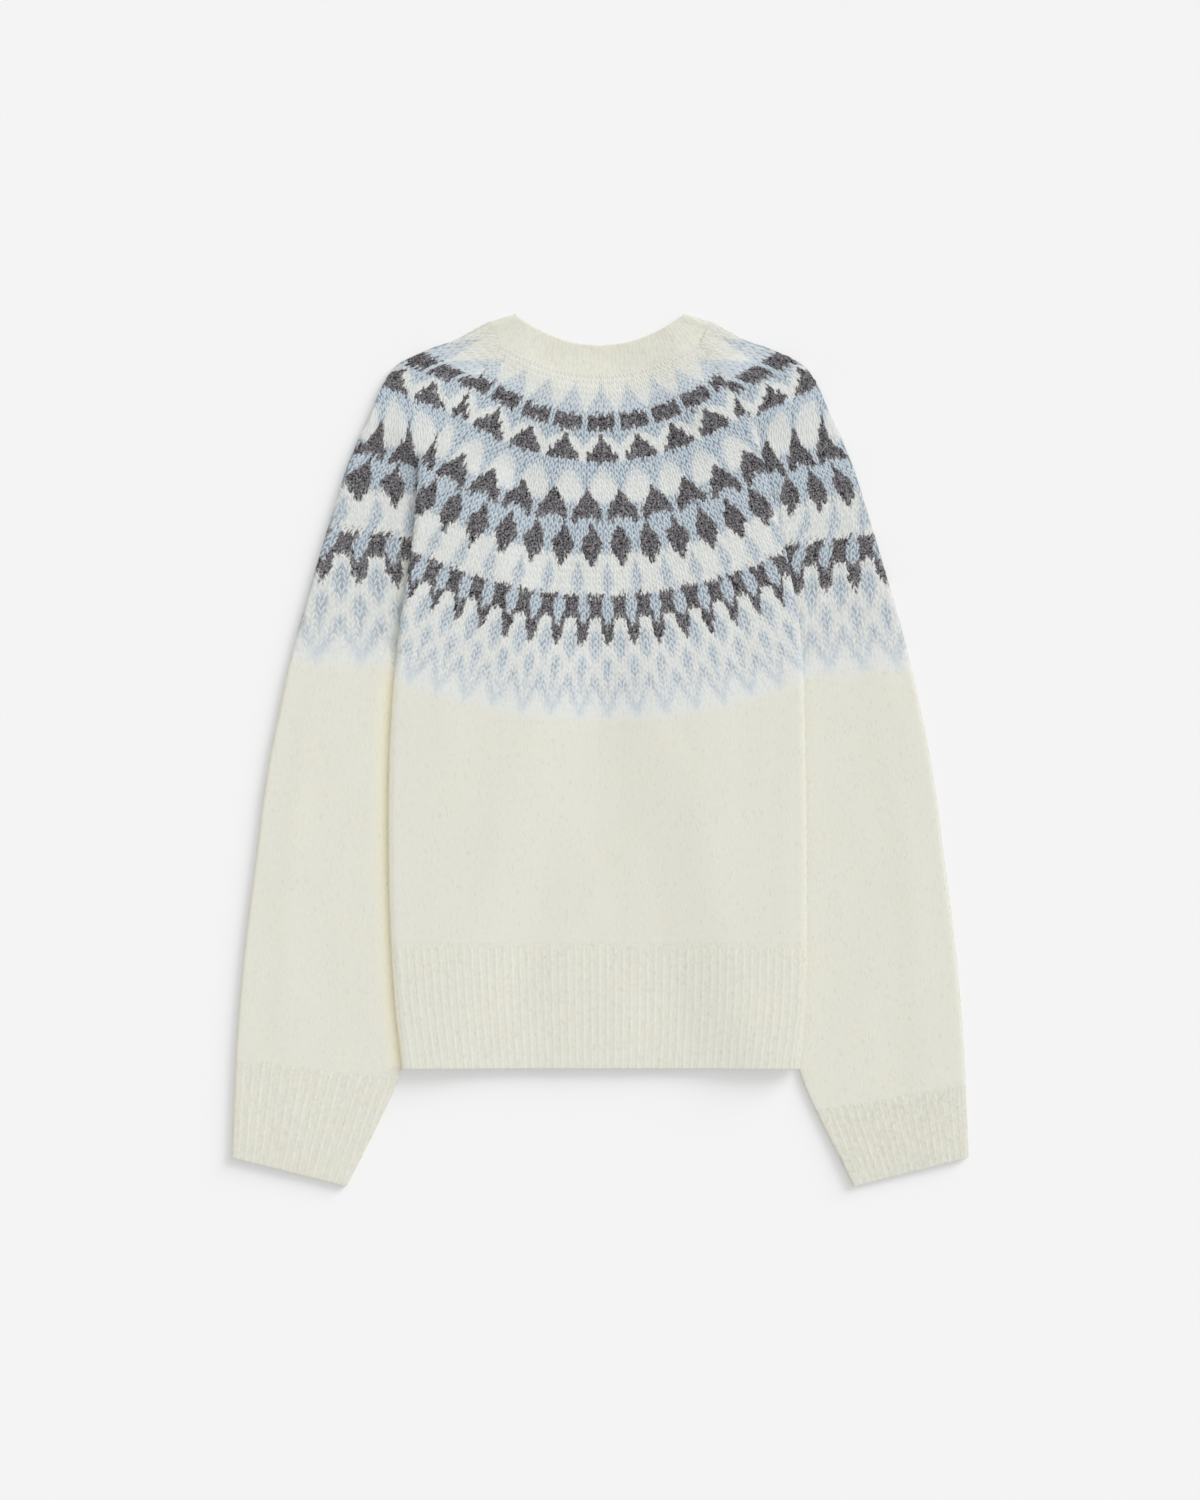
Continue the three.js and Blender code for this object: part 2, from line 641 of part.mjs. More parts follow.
function button() {
  const shankTop = BUTTON_BAND_Z - WALL / 2 - SEAM;
  const profile = [
    [0, 0],
    [BUTTON_RADIUS - BUTTON_EDGE, 0],
    [BUTTON_RADIUS, BUTTON_EDGE],
    [BUTTON_RADIUS, BUTTON_THICK - BUTTON_EDGE],
    [BUTTON_RADIUS - BUTTON_EDGE, BUTTON_THICK],
    [SHANK_RADIUS, BUTTON_THICK],
    [SHANK_RADIUS, shankTop],
    [0, shankTop],
  ].map(([radius, z]) => new THREE.Vector2(radius, z));
  const geometry = new THREE.LatheGeometry(profile, BUTTON_SIDES);
  geometry.rotateX(Math.PI / 2);
  return geometry;
}

// ---- the garment ------------------------------------------------------------------------------
const cardigan = new THREE.Group();

function add(name, geometry, colour, roughness = 0.95) {
  const material = new THREE.MeshStandardMaterial({ color: colour, roughness, metalness: 0 });
  const mesh = new THREE.Mesh(geometry, material);
  mesh.name = name;
  cardigan.add(mesh);
  return mesh;
}

const pressed = [SEAM_PRESS, SEAM_PRESS];
add('back', wall(backGrid(bodyLevels), pressed), YOKE_WHITE);
add('hem_rib_back', wall(backGrid(hemLevels), pressed), CREAM);
for (const side of Object.keys(SIDES)) {
  const frontPress = side === 'left' ? [SEAM_PRESS, 1] : [1, SEAM_PRESS];
  add(`front_${side}`, wall(frontGrid(side, bodyLevels), frontPress), YOKE_WHITE);
  add(`hem_rib_front_${side}`, wall(frontGrid(side, hemLevels), frontPress), CREAM);
  add(`sleeve_${side}`, wall(sleeveGrid(side), pressed), YOKE_WHITE);
  add(`cuff_${side}`, wall(cuffGrid(side), pressed), CREAM);
}
add('neckband', wall(neckbandGrid()), CREAM);
add('button_band', buttonBand(), CREAM);
add('buttonhole_band', buttonholeBand(), CREAM);
buttonHeights().forEach((y, i) => {
  add(`button_${i + 1}`, button(), BUTTON_COLOUR, 0.4).position.set(0, y, 0);
});

// The origin goes to the middle of the underside.
const box = new THREE.Box3().setFromObject(cardigan);
const middle = box.getCenter(new THREE.Vector3());
cardigan.position.set(-middle.x, -middle.y, -box.min.z);

export default cardigan;
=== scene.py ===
import math
from functools import partial

import bpy
import numpy as np
from bpy.props import FloatProperty, FloatVectorProperty, IntProperty
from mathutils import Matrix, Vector
from mathutils.bvhtree import BVHTree


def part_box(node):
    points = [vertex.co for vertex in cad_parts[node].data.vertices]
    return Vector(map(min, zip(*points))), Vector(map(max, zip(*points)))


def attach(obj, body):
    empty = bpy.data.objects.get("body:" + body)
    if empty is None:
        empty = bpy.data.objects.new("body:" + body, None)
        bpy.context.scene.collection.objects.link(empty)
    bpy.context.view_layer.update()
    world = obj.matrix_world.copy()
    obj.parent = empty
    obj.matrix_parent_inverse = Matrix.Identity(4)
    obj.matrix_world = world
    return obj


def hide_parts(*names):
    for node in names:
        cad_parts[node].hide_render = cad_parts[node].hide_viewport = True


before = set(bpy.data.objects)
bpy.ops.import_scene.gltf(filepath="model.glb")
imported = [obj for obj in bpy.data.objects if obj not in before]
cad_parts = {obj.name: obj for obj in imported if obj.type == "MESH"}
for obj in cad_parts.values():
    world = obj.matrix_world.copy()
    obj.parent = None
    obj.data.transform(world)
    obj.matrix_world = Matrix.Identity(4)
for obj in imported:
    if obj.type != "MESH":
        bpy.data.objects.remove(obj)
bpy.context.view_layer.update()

bl_info = {
    "name": "Jacquard Cardigan",
    "version": (1, 0, 0),
    "blender": (4, 5, 0),
    "location": "View3D > Sidebar > Cardigan",
    "description": "A round-yoke jacquard cardigan in brushed wool, laid flat with its back up",
    "category": "Mesh",
}

# ---- sizes, in millimetres ---------------------------------------------------------------------
# +X is the wearer's right, +Y the neck, +Z up. Shapes are worked out in millimetres, and
# new_object turns them into metres.
MM = 0.001
WALL = 2.0  # thickness of the knit
LIE = 0.5  # air between two layers
PLY = WALL + LIE
FLOOR_PLY = WALL / 2  # height of the middle of cloth that lies on the floor
STACK = 4 * PLY  # under the front at a side: two layers of sleeve and two of body turned under
TURN_BACK = 1.54 * PLY  # radius of the back's fold
TURN_FRONT = 0.5 * PLY  # radius of the front's fold, inside the back's
EDGE_ROLL = 2.2  # radius of a sleeve's outer fold and of the neckband's shoulder
CUFF_ROLL = 1.8  # radius of a cuff's inner fold at its end
STITCHED = 0.02  # gap left at a sewn seam
SEAM_PRESS = 0.45  # share of its thickness that the cloth keeps at a pressed seam

NECK_LEVEL = {"back": (290.0, 312.0), "front": (240.0, 299.0)}  # y of the neck seam: middle, raglan end
RAGLAN_TOP = (75.5, 312.0)
UNDERARM = (246.0, 66.0)
HEM_SEAM = -148.0
HEM_END = -244.5
CUFF = {"left": (-238.0, -253.0), "right": (-257.0, -277.0), "end": (-313.0, -335.3)}  # outer, inner y
FOLD_START = {"left": 228.0, "right": 254.0}  # y above which a side isn't folded under
EASE = {  # rise above the fold's start, width of the slope, inset from the edge underneath
    "front": (60, 40, 15),
    "back": (95, 60, 21),
    "flap": (60, 40, 18),
}
CREASE_EASE = {"fold": 14.0, "edge": 18.0, "share": 0.5}  # the back's creases fade out over these
TUCK_LEAST = 3.0  # least width of sleeve that lies under at its seam
CLEAR_OF_BODY = 6.0  # the sleeve stays down for this far beside the body's fold
HEM_CLEAR = 12.0  # length of sleeve over which it comes free of the body, at the hem

BAND_WIDTH = 28.0
BAND_TOP = 261.0
BAND_SPREAD = 21.0  # width of front that climbs to its band
BAND_SEAM = 1.0  # width of front beside the band that is level with it
BUTTON_THICK = 2.0
BUTTON_GAP = 0.3
HOLE_WIDTH = 3.4
HOLE_LENGTH = 15.0
HOLE_BAND_Z = BUTTON_THICK + BUTTON_GAP + WALL / 2
BUTTON_BAND_Z = HOLE_BAND_Z + PLY
RIDGE = {"full": 20.0, "end": 74.0, "fade": 28.0, "top": 304.0}  # the back's rise over the bands
NECK_HOLE = {"x": 64.0, "y": 38.0, "centre": 310.0, "from": 0.4, "to": 0.95}  # no front under the back


def table(names, *rows):
    """A short table with named columns, as one array for each column."""
    return {name: np.array(column, float) for name, column in zip(names.split(), zip(*rows))}


FOLD = table(  # each fold of the body, from the centre line
    "y left right",
    (300, 136, 108), (226, 138.6, 124.4), (157, 144.4, 141.3), (83, 155.5, 154.8),
    (0, 161.7, 158.2), (-107, 162, 159.4), (-190, 157.9, 158.6), (-245, 152, 154),
)
SIDE_SEAM = table(  # half-width of the body's cut below the underarm
    "y x",
    (66, 246), (-40, 245), (-148, 232), (-190, 217), (-245, 208),
)
SLEEVE_CAP = table(  # the sleeve's outer fold above the underarm, and the seam height across from it
    "x y left right",
    (84.7, 330, 312, 312), (111.7, 315.5, 291, 289), (131.7, 308.4, 272, 271),
    (156.3, 296.1, 254, 258), (167.1, 280.7, 241, 252.5), (172.3, 269.5, 232, 247.5),
    (177.1, 258.3, 226.5, 242.5), (181.2, 249, 221.5, 238), (185.6, 239.9, 216.5, 233),
    (190.4, 228, 210.5, 219), (195.6, 215.2, 197, 198), (207.9, 175.9, 167, 167),
    (219.5, 136.7, 132, 132), (232.5, 91.2, 96, 96), (241.1, 58, 66, 66),
)
SLEEVE_OUTER = table(
    "y x",
    (91, 232.5), (50, 243.3), (-25, 257.2), (-80, 264.3), (-135, 271.4), (-190, 277),
    (-239, 280.4), (-313, 283.4),
)
SLEEVE_INNER = table(
    "y x",
    (66, 68.7), (-93.5, 111.7), (-230, 148.4), (-253, 155.2), (-277, 165.6), (-335.3, 194.8),
)
NECK_FREE = {  # the neckband's free edge from the shoulder to the middle, and its share of roll
    "back": table(
        "x y roll",
        (67, 336.2, 1), (56, 329, 0.3), (42, 321.5, 0), (22, 314.3, 0), (0, 311.5, 0),
    ),
    "front": table(
        "x y roll",
        (67, 336.2, 0), (64.5, 306, 0), (52, 281, 0), (34, 268, 0), (14.3, 261, 0),
    ),
}

# Soft troughs and ridges of the back: middle, half-length, half-width, turn in degrees, height.
CREASES = table(
    "x y long wide turn height",
    (63, 14, 26, 9, 8, -0.9), (112, -40, 78, 17, -4, -0.8), (146, -60, 120, 7, -2, 0.7),
    (-40, -35, 90, 22, 3, 0.8), (18, -70, 70, 20, -6, -0.5), (-104, -60, 85, 18, 4, -0.6),
    (-70, -190, 60, 14, 5, 0.6), (70, -185, 65, 16, -7, 0.6), (-8, -120, 48, 15, 12, 0.5),
    (88, 110, 46, 14, -18, 0.7), (-92, 120, 44, 13, 20, 0.6), (-120, 30, 50, 12, 6, 0.7),
    (34, 210, 32, 12, -8, 0.6), (-38, 196, 30, 12, 10, 0.5), (128, 60, 40, 9, -10, -0.5),
)
# The same on the top of the sleeves.
SLEEVE_CREASES = table(
    "x y long wide turn height",
    (176, -20, 120, 8, -4, 0.9), (196, 40, 110, 12, 9, -1.0), (-232, -60, 150, 9, -8, 0.9),
    (-205, -130, 90, 13, -7, -0.7), (-196, 120, 50, 10, -16, 0.6), (236, -120, 110, 11, 8, 0.8),
    (-250, -190, 60, 10, -6, -0.6), (200, 150, 44, 9, 17, 0.7), (213, -215, 55, 12, 12, -0.6),
    (-185, 10, 70, 9, -7, 0.7), (-224, 40, 60, 8, -14, -0.5), (232, 20, 60, 9, 12, 0.5),
)

# The yoke is charted in two numbers: how far down from the neck seam a course lies, `down`, and
# which wale it is on, `wale`, counted in millimetres across the fourth ring.
RING_RADIUS = 84.0  # radius of the back's rings, carried up to the neck seam
RING_GROWTH = 1.26  # how much that grows for each millimetre down
NECK_RADIUS = 130.0  # the neck seam and the courses beside it are flatter, with this radius
FAN_RING = 181.0  # how far down the ring lies on which wales have their full width
YOKE_END = 268.0

# Where the yoke's rings cross each sleeve: a point on a motif's middle, the rise outward, and how
# many of the back's wales there are to each millimetre.
SLEEVE_YOKE = {
    "left": table(
        "down x y rise fan",
        (0, 80, 321, 1.2, 3), (37, 135.5, 299.9, 0.42, 2.6), (59, 157.9, 285.3, 0.44, 1.8),
        (88, 156.3, 254.5, 0.32, 1.75), (99, 159.6, 235.2, 0.28, 1.5), (134, 172.5, 206, 0.14, 1),
        (158, 171.7, 180.3, 0.1, 0.92), (181, 184.6, 157.5, 0.1, 0.75), (209, 184.6, 129.7, 0.1, 0.64),
        (226, 184.6, 109.7, 0.09, 0.6), (263, 183.6, 68.5, 0.075, 0.52), (543, 200, -240, 0.12, 0.6),
        (640, 206, -347, 0.2, 0.6),
    ),
    "right": table(
        "down x y rise fan",
        (0, 80, 321, 1.2, 3), (37, 137, 300.5, 0.55, 2.4), (59, 159.4, 285.3, 0.52, 1.8),
        (88, 159.4, 254.5, 0.32, 1.7), (99, 161.7, 234.5, 0.25, 1.65), (134, 177.1, 201, 0.2, 1.3),
        (158, 180.2, 176.7, 0.15, 1.1), (181, 173.3, 151, 0.12, 0.9), (209, 174, 122.8, 0.12, 0.81),
        (226, 174, 101.3, 0.1, 0.78), (263, 176.6, 61.6, 0.08, 0.69), (543, 196, -247, 0.12, 0.7),
        (640, 204, -354, 0.2, 0.7),
    ),
}

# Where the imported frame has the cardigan's own zero.
BAND_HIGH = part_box("button_band")[1]
ORIGIN = np.array([0.0, BAND_HIGH[1] / MM - BAND_TOP, BAND_HIGH[2] / MM - BUTTON_BAND_Z - WALL / 2])
SIDES = {"left": -1.0, "right": 1.0}


# ---- small helpers -----------------------------------------------------------------------------
def smooth(t):
    """0 up to t = 0, 1 from t = 1 on, and an even slope between."""
    t = np.clip(t, 0.0, 1.0)
    return t * t * (3 - 2 * t)


def mix(a, b, t):
    """a at t = 0, b at t = 1."""
    return a + (b - a) * t


def unit(vectors):
    """The same directions, each of length 1."""
    return vectors / np.maximum(np.linalg.norm(vectors, axis=-1, keepdims=True), 1e-9)


def quads_of(index):
    """The four corners of each cell of a grid of point numbers."""
    return index[:-1, :-1], index[1:, :-1], index[1:, 1:], index[:-1, 1:]


def curve(keys, values, steps=24):
    """A function through the rows of a table, smooth along them."""
    order = np.argsort(keys)
    k, v = np.asarray(keys, float)[order], np.asarray(values, float)[order]
    slope = np.gradient(v, k)
    slope[1:-1] = (v[2:] - v[:-2]) / (k[2:] - k[:-2])
    slope[0], slope[-1] = (v[1] - v[0]) / (k[1] - k[0]), (v[-1] - v[-2]) / (k[-1] - k[-2])
    t = np.linspace(0, 1, steps, endpoint=False)
    xs, ys = [], []
    for i in range(len(k) - 1):
        span = k[i + 1] - k[i]
        xs.append(k[i] + span * t)
        ys.append(
            (2 * t**3 - 3 * t**2 + 1) * v[i] + (t**3 - 2 * t**2 + t) * slope[i] * span
            + (-2 * t**3 + 3 * t**2) * v[i + 1] + (t**3 - t**2) * slope[i + 1] * span
        )
    xs, ys = np.append(np.concatenate(xs), k[-1]), np.append(np.concatenate(ys), v[-1])
    return lambda at: np.interp(at, xs, ys)


FOLD_AT = {side: curve(FOLD["y"], FOLD[side]) for side in SIDES}
SIDE_SEAM_AT = curve(SIDE_SEAM["y"], SIDE_SEAM["x"])
OUTER_AT = curve(SLEEVE_OUTER["y"], SLEEVE_OUTER["x"])
INNER_AT = curve(SLEEVE_INNER["y"], SLEEVE_INNER["x"])
CAP_PLACE = np.arange(len(SLEEVE_CAP["x"]), dtype=float)
CAP_AT = {key: curve(CAP_PLACE, SLEEVE_CAP[key]) for key in SLEEVE_CAP}
CHART_MIDDLE = curve([0, 40, 180, 640], [0.8, 0.8, 5.9, 5.9])  # the motifs' middle line drifts aside
YOKE_AT = {
    side: {key: curve(rows["down"], rows[key]) for key in ("x", "y", "rise", "fan")}
    for side, rows in SLEEVE_YOKE.items()
}
SLEEVE_CHART_ENDS = (-40.0, 640.0)  # where the search for a point's place along a sleeve starts


CREASE_BEND, CREASE_WAVE = 4.0, 2.1  # how far a crease bends, and how often along its length


def creases(rows, x, y):
    """Height that soft troughs and ridges add at x, y, each bent a little like an S."""
    total = np.zeros(np.broadcast(x, y).shape)
    for cx, cy, long, wide, turn, height in zip(*rows.values()):
        c, s = math.cos(math.radians(turn)), math.sin(math.radians(turn))
        across, up = (x - cx) * c + (y - cy) * s, (y - cy) * c - (x - cx) * s
        bend = CREASE_BEND * np.sin(up / long * CREASE_WAVE + cx)
        total = total + height * np.exp(-((across + bend) / wide) ** 2 - (up / long) ** 2)
    return total


# ---- how the body lies -------------------------------------------------------------------------
def cut_half_width(y):
    """From the centre line to the raglan edge or the side seam, on the cut."""
    slope = (UNDERARM[0] - RAGLAN_TOP[0]) / (RAGLAN_TOP[1] - UNDERARM[1])
    return np.where(y > UNDERARM[1], RAGLAN_TOP[0] + (RAGLAN_TOP[1] - y) * slope, SIDE_SEAM_AT(y))


def fold_axis(side, y):
    """Where the body leaves the flat to turn under."""
    return FOLD_AT[side](y) - WALL / 2 - TURN_BACK


def edge_lies(side, y):
    """Where the cut edge of the body comes to lie, from above."""
    axis, cut = fold_axis(side, y), cut_half_width(y)
    over = cut - axis
    turned = axis + TURN_BACK * np.sin(np.clip(over / TURN_BACK, 0, math.pi))
    under = axis - (over - math.pi * TURN_BACK)
    return np.where(over <= 0, cut, np.where(over < math.pi * TURN_BACK, turned, under))


def sleeve_lies(side, y):
    """Where the sleeve's inner edge lies, from above."""
    return np.where(y > UNDERARM[1], edge_lies(side, y), INNER_AT(y))


def plateau(x, end, ease):
    """0 well inside `end`, sloping up to 1 before it."""
    return smooth((x - (end - ease[2] - ease[1])) / ease[1])


def underlay(side, layer, x, y):
    """Height that the folded layers and the sleeve give to what lies on them."""
    ease = EASE[layer]
    layers = plateau(x, edge_lies(side, y), ease) + plateau(x, sleeve_lies(side, y), ease)
    return STACK / 2 * layers * smooth((FOLD_START[side] + ease[0] - y) / ease[0])


def front_height(side, x, y):
    """Height of a front's middle surface: on the floor, up over the folds, up to its band."""
    band = BUTTON_BAND_Z if side == "left" else HOLE_BAND_Z
    near = smooth((BAND_WIDTH / 2 + BAND_SEAM + BAND_SPREAD - x) / BAND_SPREAD)
    return FLOOR_PLY + underlay(side, "front", x, y) + (band - FLOOR_PLY) * near


def back_height(side, x, y):
    """Height of the back's middle surface, over the fronts, the folds and the bands."""
    around = (x / NECK_HOLE["x"]) ** 2 + ((y - NECK_HOLE["centre"]) / NECK_HOLE["y"]) ** 2
    covered = smooth((around - NECK_HOLE["from"]) / (NECK_HOLE["to"] - NECK_HOLE["from"]))
    ridge = smooth((RIDGE["end"] - x) / (RIDGE["end"] - RIDGE["full"]))
    ridge = ridge * smooth((RIDGE["top"] - y) / RIDGE["fade"])
    under = underlay(side, "back", x, y)
    bands = (BUTTON_BAND_Z - FLOOR_PLY) * ridge * (1 - under / STACK)
    inside = smooth((fold_axis(side, y) - x) / CREASE_EASE["fold"])
    inside = inside * smooth((cut_half_width(y) - x) / CREASE_EASE["edge"])
    soft = CREASE_EASE["share"] * creases(CREASES, SIDES[side] * x, y) * inside
    return FLOOR_PLY + under + PLY * covered + bands + np.maximum(soft, -LIE)


def body_point(side, layer, x, y):
    """The cloth's middle at x, y of the cut pattern: flat, round the fold, or folded under."""
    axis = fold_axis(side, y)
    back = layer == "back"
    radius = TURN_BACK if back else TURN_FRONT
    turn = math.pi * TURN_BACK
    over = x - axis
    centre = back_height(side, axis, y) - TURN_BACK
    angle = np.clip(over / TURN_BACK, 0, math.pi)
    lies = axis - np.maximum(over - turn, 0)
    held = plateau(lies, sleeve_lies(side, y), EASE["flap"])
    flat_z = back_height(side, x, y) if back else front_height(side, x, y)
    place = np.where(over < turn, axis + radius * np.sin(angle), lies)
    under_z = centre - radius - STACK / 2 * (1 - held)
    height = np.where(over < turn, centre + radius * np.cos(angle), under_z)
    return np.where(over <= 0, x, place), np.where(over <= 0, flat_z, height), angle


def across_places(side, edge, start, flat, turn, flap):
    """Places on the cut from `start` out to the cut edge, one row of them for each value of edge."""
    edge = np.asarray(edge, float)[:, None]
    length = math.pi * TURN_BACK
    end = cut_half_width(edge)
    turn_from = np.minimum(fold_axis(side, edge), end - length - TUCK_LEAST)
    return np.concatenate(
        [
            mix(start, turn_from, np.linspace(0, 1, flat + 1)),
            turn_from + length * np.linspace(0, 1, turn + 1)[1:],
            mix(turn_from + length, end, np.linspace(0, 1, flap + 1)[1:]),
        ],
        axis=1,
    )


# ---- the yoke's chart on the cloth ---------------------------------------------------------------
HEM_DOWN = NECK_LEVEL["back"][0] - HEM_SEAM


def ring_bend(down):
    """Half the curvature of the ring that lies `down` below the neck seam, fading to a straight hem."""
    down = np.maximum(down, 0)
    fading = smooth((HEM_DOWN - down) / (HEM_DOWN - YOKE_END))
    return fading / (2 * np.maximum(RING_RADIUS + RING_GROWTH * down, NECK_RADIUS))


def fan(down):
    """Width of a wale beside its width on the fourth ring."""
    radius = RING_RADIUS + RING_GROWTH * np.clip(down, 0, YOKE_END)
    return (radius / (RING_RADIUS + RING_GROWTH * FAN_RING)) ** (1 / RING_GROWTH)


SETTLING, HALVING = 40, 26  # steps that find a course on the body and on a sleeve


def body_chart(layer, x, y):
    """Wale and course of x, y on the cut pattern of the back or a front."""
    down = NECK_LEVEL[layer][0] - y
    for _ in range(SETTLING):
        down = mix(down, NECK_LEVEL[layer][0] - y + ring_bend(down) * x * x, 0.5)
    arc = x - CHART_MIDDLE(down) + 2 / 3 * ring_bend(down) ** 2 * x**3
    return arc / fan(down), down


def sleeve_chart(side, x, y, unrolled):
    """Wale and course of a place on a sleeve; `unrolled` is x carried on past the outer fold."""
    at = YOKE_AT[side]
    low, high = (np.full(x.shape, end) for end in SLEEVE_CHART_ENDS)
    for _ in range(HALVING):
        down = (low + high) / 2
        above = at["y"](down) + at["rise"](down) * (x - at["x"](down)) > y
        low, high = np.where(above, down, low), np.where(above, high, down)
    return (unrolled - at["x"](down)) * at["fan"](down), down


# Bands and motifs of the chart, painted in this order: colour, pitch, phase and shape. A motif
# repeats every `pitch` wale millimetres, its middle on the centre line at phase 0 and between
# repeats at phase 0.5. Its shape is the share of the repeat that it fills, place by place down.
WHITE, BLUE, CHARCOAL = 0, 1, 2
CHART = (
    (BLUE, 50.0, 0.0, ((7, 0), (12, 0.16), (22, 0.56), (29, 0.9), (31, 1.05))),
    (BLUE, 50.0, 0.0, ((31, 1.05), (46, 1.05))),
    (BLUE, 50.0, 0.5, ((46, 1.0), (48, 0.72), (51, 0.4), (54, 0.16), (57, 0))),
    (CHARCOAL, 50.0, 0.0, ((32.5, 0.78), (34, 0.84), (43, 0.84), (44.5, 0.76))),
    (CHARCOAL, 50.0, 0.0, (
        (48.5, 0.06), (52, 0.18), (56, 0.3), (56.5, 0.46), (61, 0.52), (61.5, 0.74), (68.5, 0.84),
    )),
    (BLUE, 38.6, 0.5, ((68.5, 1.05), (74, 1.0), (77, 0.72), (80, 0.48), (83, 0.34), (87, 0.24), (92, 0.16))),
    (BLUE, 38.6, 0.5, ((92, 0.16), (99, 0.12), (101, 0))),
    (BLUE, 38.6, 0.5, ((100.5, 1.05), (131, 1.05))),
    (CHARCOAL, 35.7, 0.5, ((90, 0.06), (94, 0.26), (99, 0.5), (104, 0.74), (109, 0.88), (114.5, 0.92))),
    (BLUE, 35.7, 0.5, ((110.5, 0.3), (113, 0.5), (115, 0.6))),
    (BLUE, 26.5, 0.0, ((131, 1.0), (135, 0.6), (139, 0.2), (141, 0))),
    (CHARCOAL, 26.5, 0.5, ((115, 0.04), (119, 0.16), (124, 0.42), (129, 0.66), (134, 0.76), (138, 0.66))),
    (CHARCOAL, 26.5, 0.5, ((138, 0.66), (141, 0.46), (145.5, 0.22), (150.5, 0))),
    (BLUE, 24.6, 0.0, (
        (144, 0.05), (150, 0.16), (156, 0.36), (161, 0.42), (165, 0.28), (169, 0.1), (171, 0),
    )),
    (CHARCOAL, 18.56, 0.0, (
        (171, 1.05), (187.5, 1.05), (188.5, 0.84), (190, 0.54), (201, 0.46), (206, 0.28), (210.5, 0),
    )),
    (BLUE, 18.56, 0.0, ((168, 0.08), (172, 0.26), (178, 0.46), (184, 0.44), (190, 0.22), (195, 0))),
    (BLUE, 17.8, 0.5, (
        (195, 0.06), (200, 0.3), (206, 0.5), (210, 0.52), (215, 0.36), (220, 0.14), (223, 0),
    )),
    (BLUE, 17.8, 0.0, ((217, 0), (221, 0.26), (226, 0.42), (231, 0.26), (236, 0.14), (247, 0.1))),
)
ZIGZAG = {"pitch": 17.8, "top": 235.0, "tip": 261.5, "thick": 10.5}  # points down on the centre line
BLUE_DEPTH = (  # places down, and how deep the blue is dyed there
    (5, 24, 36, 140, 150, 168, 172, 190, 200, 225, 245),
    (0.5, 0.66, 1.0, 1.0, 0.75, 0.75, 1.0, 1.0, 0.78, 0.78, 0.68),
)


def from_middle(wale, pitch, phase=0.0):
    """0 on the middle of a repeat, and 1 half a repeat away."""
    return np.abs((wale / pitch - phase + 0.5) % 1.0 - 0.5) * 2


def dye_at(wale, down):
    """Which colour the chart has at a wale and course."""
    dye = np.full(wale.shape, WHITE)
    for colour, pitch, phase, shape in CHART:
        levels, shares = zip(*shape)
        inside = from_middle(wale, pitch, phase) < np.interp(down, levels, shares)
        dye = np.where((down >= levels[0]) & (down <= levels[-1]) & inside, colour, dye)
    line = mix(ZIGZAG["tip"], ZIGZAG["top"], from_middle(wale, ZIGZAG["pitch"]))
    return np.where(np.abs(down - line) < ZIGZAG["thick"] / 2, BLUE, dye)


def yoke_share(down):
    """1 on the yoke's white, less beside the neck, and 0 on the cream below it."""
    return smooth((YOKE_END + 4 - down) / 12.0) * mix(0.35, 1.0, smooth((down - 4) / 26.0))


# Places around a point, in chart millimetres, whose colours it shares where blue meets white.
BLEED = ((0, 0), (1.1, 0), (-1.1, 0), (0, 1.5), (0, -1.5))
SPREAD = ((58, 70, 88, 100, 200, 225), (1.0, 2.0, 2.0, 1.0, 1.0, 1.4))  # how much farther off, by `down`
HAZE = ((66, 76, 85, 97), (0.0, 0.3, 0.06, 0.0))  # blue that the white takes, by `down`


def blue_share(wale, down):
    """How blue the wool is, softly out of focus where it meets white."""
    blue, pale = np.zeros(wale.shape), np.zeros(wale.shape)
    spread = np.interp(down, *SPREAD)
    for aside, below in BLEED:
        dye = dye_at(wale + aside * spread, down + below * spread)
        blue = blue + (dye == BLUE)
        pale = pale + (dye != CHARCOAL)
    share = blue / np.maximum(pale, 1) * np.interp(down, *BLUE_DEPTH)
    return np.maximum(share, np.interp(down, *HAZE))


# ---- meshes --------------------------------------------------------------------------------------
SHARP = math.radians(55)  # edges that turn more than this are shaded as edges


def new_object(name, verts, faces, maps, floats, material):
    """A mesh object from points in millimetres; maps and floats hold values for each point by name."""
    mesh = bpy.data.meshes.new(name)
    mesh.vertices.add(len(verts))
    mesh.vertices.foreach_set("co", ((verts + ORIGIN) * MM).astype(np.float32).ravel())
    corners = np.concatenate([f.ravel() for f in faces]).astype(np.int32)
    sizes = np.concatenate([np.full(len(f), f.shape[1], np.int32) for f in faces])
    mesh.loops.add(len(corners))
    mesh.loops.foreach_set("vertex_index", corners)
    mesh.polygons.add(len(sizes))
    mesh.polygons.foreach_set("loop_start", np.concatenate([[0], np.cumsum(sizes)[:-1]]).astype(np.int32))
    mesh.update(calc_edges=True)
    for map_name, values in maps.items():
        layer = mesh.uv_layers.new(name=map_name)
        layer.uv.foreach_set("vector", values[corners].astype(np.float32).ravel())
    for float_name, values in floats.items():
        attribute = mesh.attributes.new(float_name, "FLOAT", "POINT")
        attribute.data.foreach_set("value", values.astype(np.float32))
    mesh.polygons.foreach_set("use_smooth", np.ones(len(sizes), bool))
    mesh.materials.append(material)
    mesh.validate()
    mesh.set_sharp_from_angle(angle=SHARP)
    obj = bpy.data.objects.new(name, mesh)
    bpy.context.scene.collection.objects.link(obj)
    return obj


